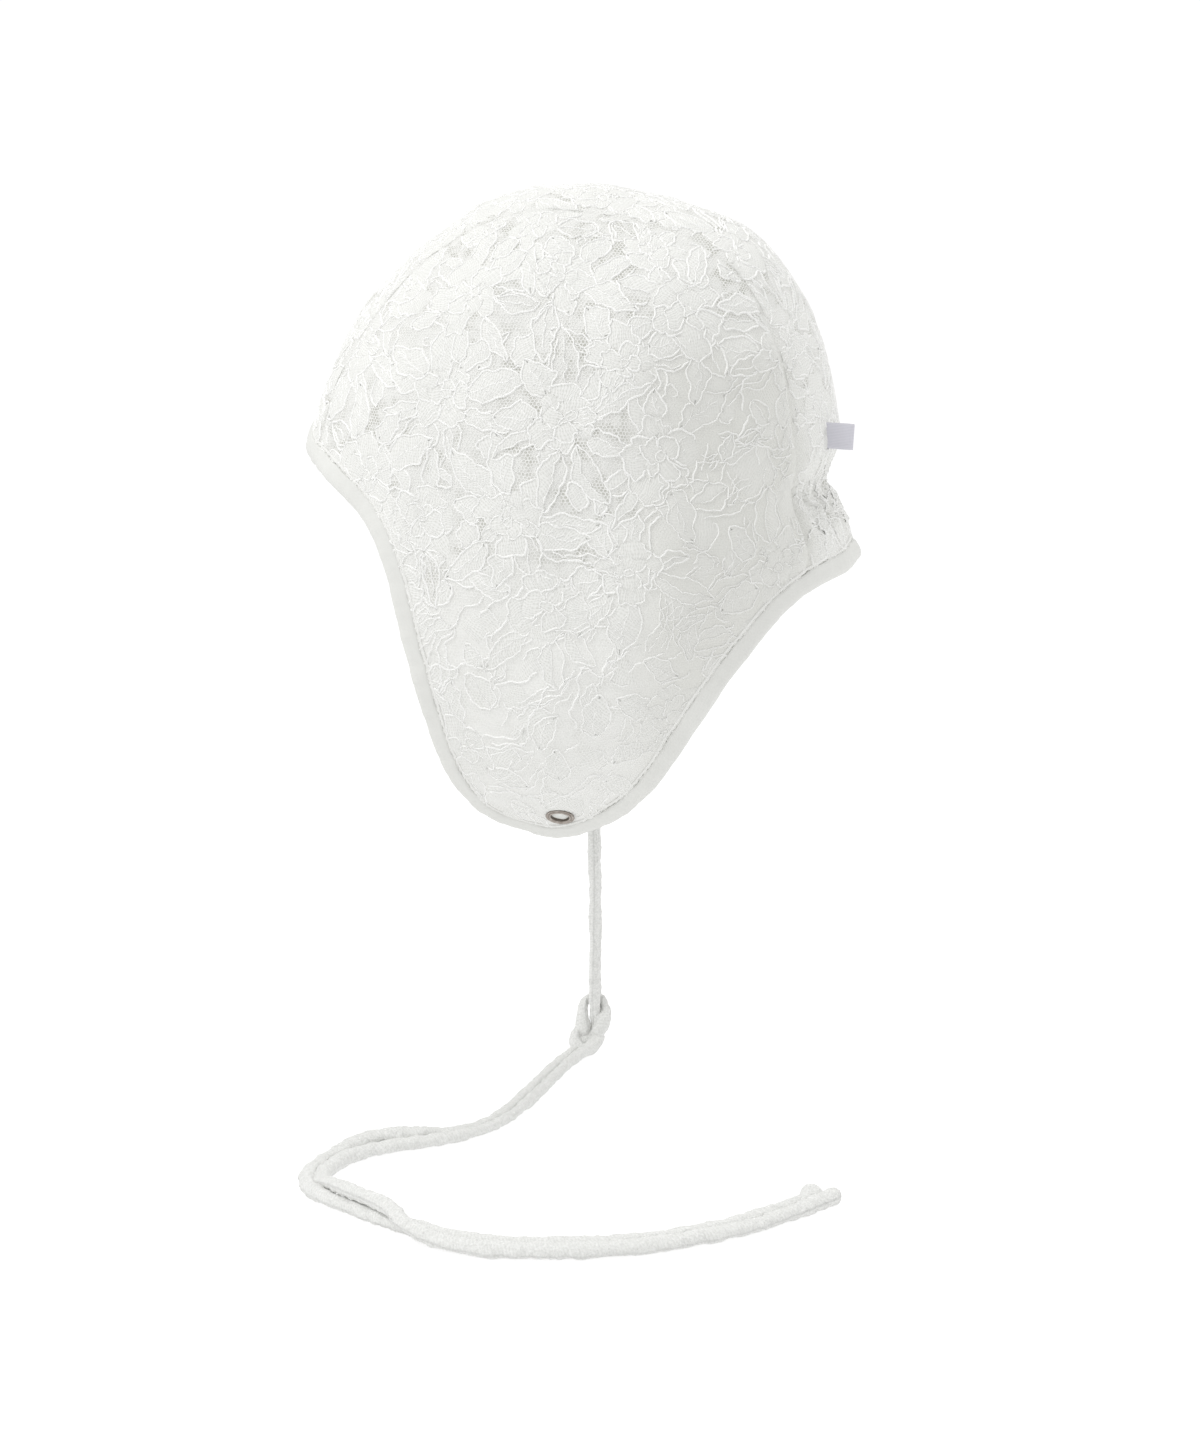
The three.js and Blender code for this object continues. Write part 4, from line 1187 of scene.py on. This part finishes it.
        before = len(self.outlines)
        self.cord(place(axis[:15]), 0.5)
        if kind == "full":
            for k in (4, 7, 10):
                for sign in (1, -1):
                    self.cord(place(np.stack([axis[k], axis[k + 3] + sign * side[k + 3] * 0.62])), 0.36)
        self.shape(round_trip(axis + side, axis - side), way + 0.6, filled=kind != "open",
                   inner=kind == "open", roots=round_trip(spine, spine))
        if kind == "half":
            middle = spine + side / 2
            self.fills[-1] = (round_trip(axis + side, axis), round_trip(middle, middle), way + 0.6, before)

    def lobed(self, centre, radius, broken=False):
        g = self.g
        squash, way, lobes = g.uniform(0.62, 1), g.uniform(0, 6.28), int(g.integers(4, 7))
        outline = self.round_shape(centre, radius, squash, way, lobes, 0.1)
        a = g.uniform(0, 0.5)
        drawn = (a, a + 0.45) if broken else (0, 1)
        self.shape(outline, g.uniform(0, 3.1), drawn=drawn, inner=g.uniform() < 0.3)

    def scroll(self, start, end, double=True, width=CORD_WIDTH):
        """A wavy stem, with a scalloped edge beside it when it is double."""
        g = self.g
        way = end - start
        length = math.hypot(*way)
        across = np.array((-way[1], way[0])) / length
        s = np.linspace(0, 1, max(int(length / 0.7), 8))
        sway = g.uniform(-0.16, 0.16) * length * np.sin(np.pi * s)
        sway += 0.8 * np.sin(s * length / g.uniform(1.6, 2.4) + g.uniform(0, 6))
        line = start + s[:, None] * way + sway[:, None] * across
        self.cord(line, width)
        if double:
            gap = 1.2 + 1.3 * np.abs(np.sin(s * length / 4.3 + g.uniform(0, 3))) * np.sin(np.pi * s) ** 0.5
            self.cord(line + (gap * g.choice([-1, 1]))[:, None] * across, width * 0.85)

    def tendril(self, centre, radius):
        g = self.g
        s = np.linspace(0, 1, 26)
        a = g.uniform(0, 6.28) + s * g.uniform(3.4, 5.6)
        self.cord(centre + (radius * (1 - 0.7 * s))[:, None] * np.stack([np.cos(a), np.sin(a)], -1), 0.62)

    def scatter(self, tries, radius, overlap, draw, where, most, room=-2.0):
        """Puts motifs down one by one where there is still space for them."""
        left, low, right, high = self.part.box
        done = 0
        for _ in range(tries):
            if done >= most:
                break
            size = self.g.uniform(*radius)
            place = np.array([self.g.uniform(left, right), self.g.uniform(low, high)])
            if self.inside(place, room) and self.free(place, size, overlap) and where(place):
                draw(place, size)
                self.discs.append((place, size))
                done += 1


def crumple(d, strip):
    """Short crossing ends of cord where the elastic draws the nape together."""
    g = d.g
    for _ in range(150 if strip else 60):
        if strip:
            start = np.array((g.uniform(-38, 38), np.interp(g.uniform(183, 199), middle_angles, middle_arc)))
        else:
            start = way_at(math.radians(g.uniform(181, 199))) * g.uniform(44, 80)
        if 0.5 < float(d.part.room(start[None])[0]) < 60:
            way = g.uniform(0, 6.28)
            d.scroll(start, start + g.uniform(3, 9) * way_at(way), double=False, width=g.uniform(0.45, 0.7))


def leaves_round(d, centre, radius):
    """Leaves that stand out round a rose, fewer of them in the lower drawing."""
    g = d.g
    first = g.uniform(0, 6.28)
    for k in range(9):
        way = first + k * 0.7 + g.uniform(-0.25, 0.25)
        length = g.uniform(9, 19)
        middle = centre + way_at(way) * (radius * 0.85 + length / 2)
        skip = not d.upper(middle) and g.uniform() < 0.5
        if not skip and d.free(middle, 3.0, 0.74) and d.inside(middle, -1):
            kind = g.choice(["full", "half", "open"], p=[0.6, 0.25, 0.15])
            base = centre + way_at(way) * radius * 0.85
            d.leaf(base, way + g.uniform(-0.3, 0.3), length, g.uniform(2.4, 4.4), kind)
            d.discs.append((middle, 3.2))


def lower_drawing(d, lower, stray):
    """On the ear flaps: a few leaves, many leaning scrolls and broken lobes."""
    g = d.g
    d.scatter(900, (3.6, 5.6), 1.2, stray, lower, 26)
    for _ in range(260):
        start = np.array((g.uniform(-88, 70), g.uniform(-122, 14)))
        if lower(start):
            way = np.array((-math.cos(0.75), math.sin(0.75))) * g.uniform(6, 30)
            end = start + turned(way[None], g.uniform(-0.75, 0.75))[0]
            d.scroll(start, end, double=g.uniform() < 0.3, width=g.uniform(0.55, 0.95))
    d.scatter(1600, (3.4, 8.0), 0.72, lambda p, r: d.lobed(p, r, broken=True), lower, 110)


def lace_drawing(part, seed):
    """Each scatter says its tries, sizes, closeness, motif, place and how many at most."""
    strip = isinstance(part, Strip)

    def upper(p):
        """Open lace with roses. Lower, on the flap and behind the ear, it is closer and plainer."""
        return strip or (p[1] > -45 and (p[0] > -34 or p[1] > 22))

    def lower(p):
        return not upper(p)

    def dense(p):
        bend = 1.3 * math.sin(p[0] / 11)
        return upper(p) and math.sin(p[0] / 7.3 + seed) + math.sin(p[1] / 8.1 + bend) < 0.8

    def stray(p, r):
        d.leaf(p, g.uniform(0, 6.28), r * 2.4, r * g.uniform(0.5, 0.8), g.choice(["full", "half"]))

    d = Drawing(part, seed, upper)
    g = d.g
    d.scatter(900, (8.4, 11.8), 1.12, d.flower, upper, 999, room=-1)
    d.scatter(500, (8.0, 10.0), 1.5, d.flower, lower, 3, room=1)
    roses = list(d.discs)
    for centre, radius in roses:
        leaves_round(d, centre, radius)
    d.scatter(900, (4.6, 7.4), 0.9, d.flower, upper, 26)
    d.scatter(1500, (3.2, 5.2), 0.86, stray, upper, 60)
    d.scatter(1800, (3.0, 6.4), 0.84, d.lobed, dense, 120)
    if not strip:
        lower_drawing(d, lower, stray)
    crumple(d, strip)
    near = [(a, b) for i, (a, _) in enumerate(roses) for b, _ in roses[i + 1:] if math.hypot(*(a - b)) < 42]
    for a, b in near:
        if g.uniform() < 0.7:
            d.scroll(a, b, double=g.uniform() < 0.6)
    d.scatter(1500, (1.6, 3.0), 1.0, d.tendril, upper, 40)
    return d


def cord_material():
    m = new_material("lace_cord")
    where = m.object_mm()
    u, v = m.along()
    lay = (u + v * 0.8).wave(0.75)
    # Darker in the low grooves of the lay: painted shade.
    relief_shade = m.mix(lay, (0.91, 0.91, 0.895), (0.985, 0.985, 0.975))
    colour = m.mix(m.noise(where, 0.25).ramp(0.3, 0.7, 0.0, 0.4), relief_shade, (0.93, 0.93, 0.915))
    # Darker behind the ear: painted shade on the side turned from the light.
    colour = m.mix(behind_the_ear(where) * 0.55, colour, (0.82, 0.82, 0.80))
    return m.finish(colour, 0.7, m.bump(lay, 0.12, 0.7), sheen=0.05)


def clothwork_material():
    """Close clothwork: the threads lie in fine ribs, crossed by a fainter weft."""
    m = new_material("lace_clothwork")
    where = m.object_mm()
    u, v = m.along()
    ribs = m.noise(where, 0.5).times_plus(0.9, u).wave(0.66)
    weft = v.wave(0.9)
    height = weft.times_plus(0.35, ribs)
    # Darker where ribs and weft are low and in the pores between the threads: painted shade.
    pores = ((1.0 - ribs) * (1.0 - weft)).ramp(0.45, 0.95)
    relief_shade = m.mix(height.ramp(0.1, 1.2), (0.775, 0.777, 0.752), (0.85, 0.851, 0.83))
    colour = m.mix(pores * 0.35, relief_shade, (0.55, 0.55, 0.5))
    # Darker behind the ear: painted shade on the side turned from the light.
    colour = m.mix(behind_the_ear(where) * 0.7, colour, (0.72, 0.72, 0.69))
    return m.finish(colour, 0.85, m.bump(height, 0.10, 0.65), sheen=0.05)


def cross(a, b):
    return a[..., 0] * b[..., 1] - a[..., 1] * b[..., 0]


def folded(corners, sense):
    """Which flat polygons a bent outline has turned over or crossed."""
    edge = np.roll(corners, -1, 1) - corners
    return (cross(edge, np.roll(edge, -1, 1)) * sense).min(-1) < -1e-6


# Rings of a patch of clothwork: the share of the way out from its roots, and the depth. Then the depth
# of the roots, of what another shape hides, and of the cords.
PATCH_RINGS = ((1.0, 0.29), (0.84, 0.19), (0.48, 0.13))
ROOT_DEPTH = 0.11
HIDDEN_DEPTH = 0.5
CORD_DEPTH = 0.34
CORD_SECTION = np.array([(-0.5, 0), (-0.38, 0.7), (0, 1), (0.38, 0.7), (0.5, 0)])


def clothwork(name, part, d, material):
    """Domed patches inside the outlines, sunk where a shape in front hides them."""
    flats, depths, uvs, faces, total = [], [], [], [], 0
    for outline, roots, angle, order in d.fills:
        n = len(outline)
        flat = np.concatenate([*(roots + (outline - roots) * share for share, _ in PATCH_RINGS), roots])
        hidden = d.covered(flat, order)
        if not d.inside(outline.mean(0), 0.5) or hidden.all():
            continue
        depth = np.repeat([*(deep for _, deep in PATCH_RINGS), ROOT_DEPTH], [n, n, n, len(roots)])
        flats.append(flat + wobble(flat))
        depths.append(np.where(hidden, HIDDEN_DEPTH, depth))
        uvs.append(turned(flat, -angle))
        ring = np.arange(n)
        patches = [grid_faces(3 + (len(roots) == n), n, closed=True)]
        if len(roots) == 1:
            patches.append(np.stack([2 * n + ring, 2 * n + (ring + 1) % n, 3 * n + 0 * ring], -1))
        sense = np.sign(cross(outline, np.roll(outline, -1, 0)).sum())
        for patch in patches:
            good = ~folded(flat[patch], sense) & ~hidden[patch].all(-1)
            faces += [tuple(total + i for i in f) for f in patch[good].tolist()]
        total += len(flat)
    form = part.form(part.clamped(np.concatenate(flats), 0.5))
    points, faces = pierced(cloth(form, np.concatenate(depths))[0], faces)
    on_hat(mesh_piece(f"lace_clothwork_{name}", points, faces, material, uv=np.concatenate(uvs)), "lace")


def clear_of_eyelets(p):
    away = [np.linalg.norm(p - place, axis=-1) for place, _ in EYELETS.values()]
    return np.min(away, axis=0) > EYELET["clear"]


def outline_cords(name, part, d, material):
    """A raised cord along each line of the drawing, uneven and tapered at its ends."""
    lines = []
    for line, width in d.cords:
        line = line + wobble(line)
        keep = (part.room(line) > 0.45) & clear_of_eyelets(part.form(line))
        lines += [(line[run], width) for run in runs(keep)]
    base, up = cloth(part.form(np.concatenate([line for line, _ in lines])), CORD_DEPTH)
    k = len(CORD_SECTION)
    rows, uvs, faces, at = [], [], [], 0
    for line, width in lines:
        here = slice(at, at + len(line))
        start = at * k
        at += len(line)
        along = np.gradient(base[here], axis=0)
        along /= np.maximum(np.linalg.norm(along, axis=1, keepdims=True), 1e-9)
        run = np.arange(len(line)) * CORD_STEP
        swell = 1 + 0.1 * np.sin(run / 1.7 + start) + 0.07 * np.sin(run / 0.8 + 2.1 * start)
        end = np.minimum(np.minimum(run, run[::-1]) / 0.9 + 0.35, 1)
        wide = (width * swell * (0.5 + 0.5 * end))[:, None, None]
        high = ((0.32 + 0.26 * width) * end)[:, None, None]
        ring = rows_of(base[here], np.cross(along, up[here]), up[here], CORD_SECTION, wide, high)
        rows.append(ring.reshape(-1, 3))
        uvs.append(grid_uv(run, np.arange(k) * width * 0.34))
        faces += grid_faces(len(line), k, start=start).tolist()
    piece = mesh_piece(f"lace_cord_{name}", np.concatenate(rows), faces, material, uv=np.concatenate(uvs))
    on_hat(piece, "lace")


def lace():
    cord_look, clothwork_look = cord_material(), clothwork_material()
    for seed, (name, part) in enumerate(PARTS.items(), 21):
        d = lace_drawing(part, seed)
        clothwork(name, part, d, clothwork_look)
        outline_cords(name, part, d, cord_look)


lace()

# ---------- seams and stitches

# Sections across, then up from the cloth. An inset is the distance in from the edge.
RIDGE_SECTION = np.array([
    (-0.85, 0), (-0.68, 0.5), (-0.3, 0.9), (0.1, 1), (0.45, 0.75), (0.75, 0.35), (0.95, 0),
])
RIDGE_INSET = 5.35
RIDGE_WIDTH = 0.62
RIDGE_HEIGHT = 0.52
STITCH_INSET = 4.85
STITCH_ROWS = 6
THREAD_RADIUS = 0.19
STITCH_BOW = np.array([-0.2, 0.02, 0.06, 0.02, -0.2])[:, None]
SEAM_SECTION = np.array([(-2.7, 0), (-2.5, 0.4), (-1, 0.55), (0, 0.35), (1, 0.55), (2.5, 0.4), (2.7, 0)])
SEAM_STEP = 0.6
SEAM_DEPTH = 2.38
ZIGZAG_SWING = 2.55
ZIGZAG_RADIUS = 0.13
ZIGZAG_STEP = 0.9


def ridge_material():
    """Rolled cloth with fine ribs, with painted shade along its foot and in the grooves between the ribs."""
    m = new_material("roll_cloth")
    u, v = m.along()
    ribs = v.times_plus(0.7, u).wave(0.7)
    # Painted shade: the foot of the roll and the low parts of the ribs are darker.
    foot = abs(v - 0.8).ramp(0.42, 0.8)
    colour = m.mix(ribs, (0.80, 0.80, 0.775), (0.86, 0.86, 0.84))
    return m.finish(m.mix(foot * 0.75, colour, (0.55, 0.55, 0.52)), 0.85, m.bump(ribs, 0.08, 0.6), sheen=0.05)


def edge_stitching(step=0.4):
    """Inside the tape: a row of stitches in a groove, and the ridge where the seam lies under the lace."""
    loop = edge_loop(step)
    along, _, inward = edge_frames(loop)
    run = np.arange(len(loop)) * step
    g = np.random.default_rng(5)
    stray = 0.12 * np.sin(run / 5.1 + g.uniform(0, 6)) + 0.1 * np.sin(run / 2.3 + g.uniform(0, 6))

    def inside_edge(inset, depth):
        return cloth(onto_head(loop + inward * (inset + stray)[:, None]), depth)

    base, n = inside_edge(RIDGE_INSET, 0.36)
    pull = 0.72 + 0.28 * np.abs(np.sin(np.pi * run / 2.35))
    high = (RIDGE_HEIGHT * pull * (1 + 0.12 * np.sin(run / 3.3)))[:, None, None]
    rows = rows_of(base, np.cross(along, n), n, RIDGE_SECTION, RIDGE_WIDTH, high)
    across = np.linspace(0, 1.6, len(RIDGE_SECTION))
    on_hat(skin("edge_ridge", rows, run, across, ridge_material(), tube=False, ring=True), "lace")

    line, n = inside_edge(STITCH_INSET, 0.12)
    points, faces, uvs = [], [], []
    for i in range(0, len(loop) - STITCH_ROWS, STITCH_ROWS):
        up = n[i:i + STITCH_ROWS - 1]
        rows = sweep(line[i:i + STITCH_ROWS - 1] + up * STITCH_BOW, up, circle(6), THREAD_RADIUS)
        faces += grid_faces(len(up), 6, closed=True, start=6 * len(up) * len(points)).tolist()
        points.append(rows.reshape(-1, 3))
        uvs.append(grid_uv(run[:len(up)], np.arange(6) * 0.2))
    uv = np.concatenate(uvs)
    on_hat(mesh_piece("edge_stitches", np.concatenate(points), faces, THREAD_COTTON, uv=uv), "binding")


def inside_seams():
    """The turned-in edges of the two seams on the inside of the lining, held down by a zigzag thread."""
    x = np.full(2, 36.0)
    for name, side in (("left", 1), ("right", -1)):
        for _ in range(6):
            ends = np.array([float(edge_angle_at(x[0], 0)), float(edge_angle_at(x[1], 1))])
            x = strip_half_at(ends)
        angle = np.linspace(ends[0] + 3.2, ends[1] - 3.2, 900)
        line = evenly(head_point(angle, spread_across(strip_half_at(angle)), side), SEAM_STEP)
        base, n = cloth(line, SEAM_DEPTH, 0.6)
        across = np.cross(unit(np.gradient(base, axis=0)), n)
        rows = rows_of(base, across, -n, SEAM_SECTION)
        run = np.arange(len(base)) * SEAM_STEP
        band = skin(f"seam_allowance_{name}", rows, run, SEAM_SECTION[:, 0], LINING_COTTON, tube=False)
        on_hat(band, "lining")
        swing = ZIGZAG_SWING * np.where(np.arange(len(base)) % 4 < 2, 1, -1)
        zigzag = evenly((base + across * swing[:, None] - n * 0.5)[::2], ZIGZAG_STEP)
        rows = sweep(zigzag, np.broadcast_to(n.mean(0), zigzag.shape) + 0.01, circle(4), ZIGZAG_RADIUS)
        run = np.arange(len(zigzag)) * ZIGZAG_STEP
        on_hat(skin(f"seam_zigzag_{name}", rows, run, np.arange(4) * 0.2, THREAD_COTTON), "lining")


edge_stitching()
inside_seams()

# ---------- eyelets and label

# Radius and height round the eyelet's ring and down its barrel.
EYELET_PROFILE = catmull([
    (2.7, -1.5), (2.5, -1.2), (2.45, -0.5), (2.55, 0.1), (2.7, 0.36), (2.9, 0.48), (3.1, 0.42), (3.25, 0.24),
    (3.45, 0.2), (3.75, 0.34), (4.05, 0.3), (4.2, 0.12), (4.1, -0.06), (3.8, -0.1), (2.8, -0.05),
    (2.75, -1.1), (3.7, -1.15), (3.8, -1.35), (3.5, -1.5),
], np.linspace(0, 1, 58))
# The nape's angles that the label reaches between, its place to the left, and how it is folded.
LABEL = {"top": 176.9, "bottom": 182.8, "x": 18.5, "out": 7.4, "leaf": 0.34, "slit": 0.5, "tall": 7.2}


def steel_material():
    """Dull steel, with painted shade and painted dark reflections in the hole, in the groove of the rim and
    at its foot.
    """
    m = new_material("steel_worn")
    where = m.object_mm()
    radius = m.along()[1]
    # Painted shade and painted dark reflections: near-black in the rim's groove, in the hole and at the foot.
    groove = abs(radius - 3.32).ramp(0.0, 0.16, 1.0, 0.0)
    shade_and_reflection = groove + (radius.ramp(2.55, 2.72, 1.0, 0.0) + radius.ramp(4.08, 4.18))
    scuff = m.noise(where, 6.0, 4.0, 0.65)
    colour = m.mix(m.noise(where, 0.8).ramp(0.35, 0.65), (0.30, 0.26, 0.23), (0.47, 0.43, 0.395))
    colour = m.mix(m.math("MULTIPLY", shade_and_reflection, 0.75, clamp=True), colour, (0.13, 0.108, 0.09))
    return m.finish(colour, scuff.ramp(0.3, 0.7, 0.26, 0.45), m.bump(scuff, 0.03, 0.3), metallic=1.0)


def eyelets(sides=56):
    steel = steel_material()
    t = np.linspace(0, 2 * np.pi, sides, endpoint=False)
    for name, side in (("left", 1), ("right", -1)):
        place, out = EYELETS[side]
        way = unit(out - np.array((0, 0, EYELET["tilt"])))
        a = unit(np.cross(way, (0.0, 1.0, 0.0)))
        ring = np.cos(t)[:, None] * a + np.sin(t)[:, None] * np.cross(a, way)
        rows = rows_of(place[None], ring, way[None], EYELET_PROFILE)
        piece = skin(f"eyelet_ring_{name}", rows, t, EYELET_PROFILE[:, 0], steel, ring=True)
        on_hat(piece, "steel", f"eyelet_{name}")


def label_material():
    """Satin ribbon, woven in fine ribs, with paler borders."""
    m = new_material("label_satin")
    u, v = m.along()
    height = u.wave(0.3).times_plus(0.3, v.wave(0.42))
    rim = abs(v - LABEL["tall"] / 2).ramp(3.0, 3.5)
    # Darker in the low parts of the ribs: painted shade.
    colour = m.mix(height.ramp(0.0, 1.2), (0.595, 0.59, 0.65), (0.70, 0.695, 0.75))
    return m.finish(m.mix(rim * 0.35, colour, (0.77, 0.765, 0.81)), 0.5, m.bump(height, 0.05, 0.5), sheen=0.1)


def fold_line(half, bend):
    """One side of the folded ribbon, seen from its end: out along a leaf, round the fold and back."""
    legs = [(d, half) for d in np.linspace(-0.6, bend, 12)]
    arc = np.linspace(np.pi / 2, -np.pi / 2, 9)[1:-1]
    fold = [(bend + half * math.cos(a), half * math.sin(a)) for a in arc]
    return legs + fold + [(d, -half) for d, _ in legs[::-1]]


def label():
    """A blank ribbon folded in two, sewn in by its ends and bent a little by wear."""
    half, leaf, out = LABEL["slit"] / 2, LABEL["leaf"], LABEL["out"]
    bend = out - half - leaf
    outer, inner = fold_line(half + leaf, bend), fold_line(half, bend)[::-1]
    section = np.array(outer + inner)
    share = section[:, 0] / out
    x = np.array([LABEL["x"]])
    low, high = (cloth(head_point(np.array([LABEL[end]]), spread_across(x), 1), 0.0)[0][0]
                 for end in ("bottom", "top"))
    fold = max(low[1], high[1]) + out
    rows = []
    for t in np.linspace(0, 1, 15):
        seat = low + (high - low) * t
        sway = 0.35 * np.sin(3.1 * t + 0.6) * share**2 + 0.12 * np.sin(7 * t) * share
        y = seat[1] + (fold - seat[1]) * share - 0.4 * (1 - t) * share
        z = seat[2] - 0.45 * share + 0.15 * np.sin(share * 3) * (t - 0.5)
        rows.append(np.stack([LABEL["x"] + section[:, 1] + sway, y, z], -1))
    n, k = len(rows), len(section)
    faces = grid_faces(n, k, closed=True).tolist()
    for row, way in ((0, 1), (n - 1, -1)):
        for q in range(len(outer) - 1):
            quad = (row * k + q, row * k + q + 1, row * k + (k - 2 - q), row * k + (k - 1 - q))
            faces.append(quad[::way])
    rise, girth = np.linspace(0, 1, n) * LABEL["tall"], travelled(section)
    uv = grid_uv(rise, girth)[:, ::-1]
    piece = mesh_piece("label_ribbon", np.concatenate(rows), faces, label_material(), uv=uv)
    piece.modifiers.new("edges", "EDGE_SPLIT").split_angle = math.radians(50)
    on_hat(piece, "label", "label_tag")


eyelets()
label()
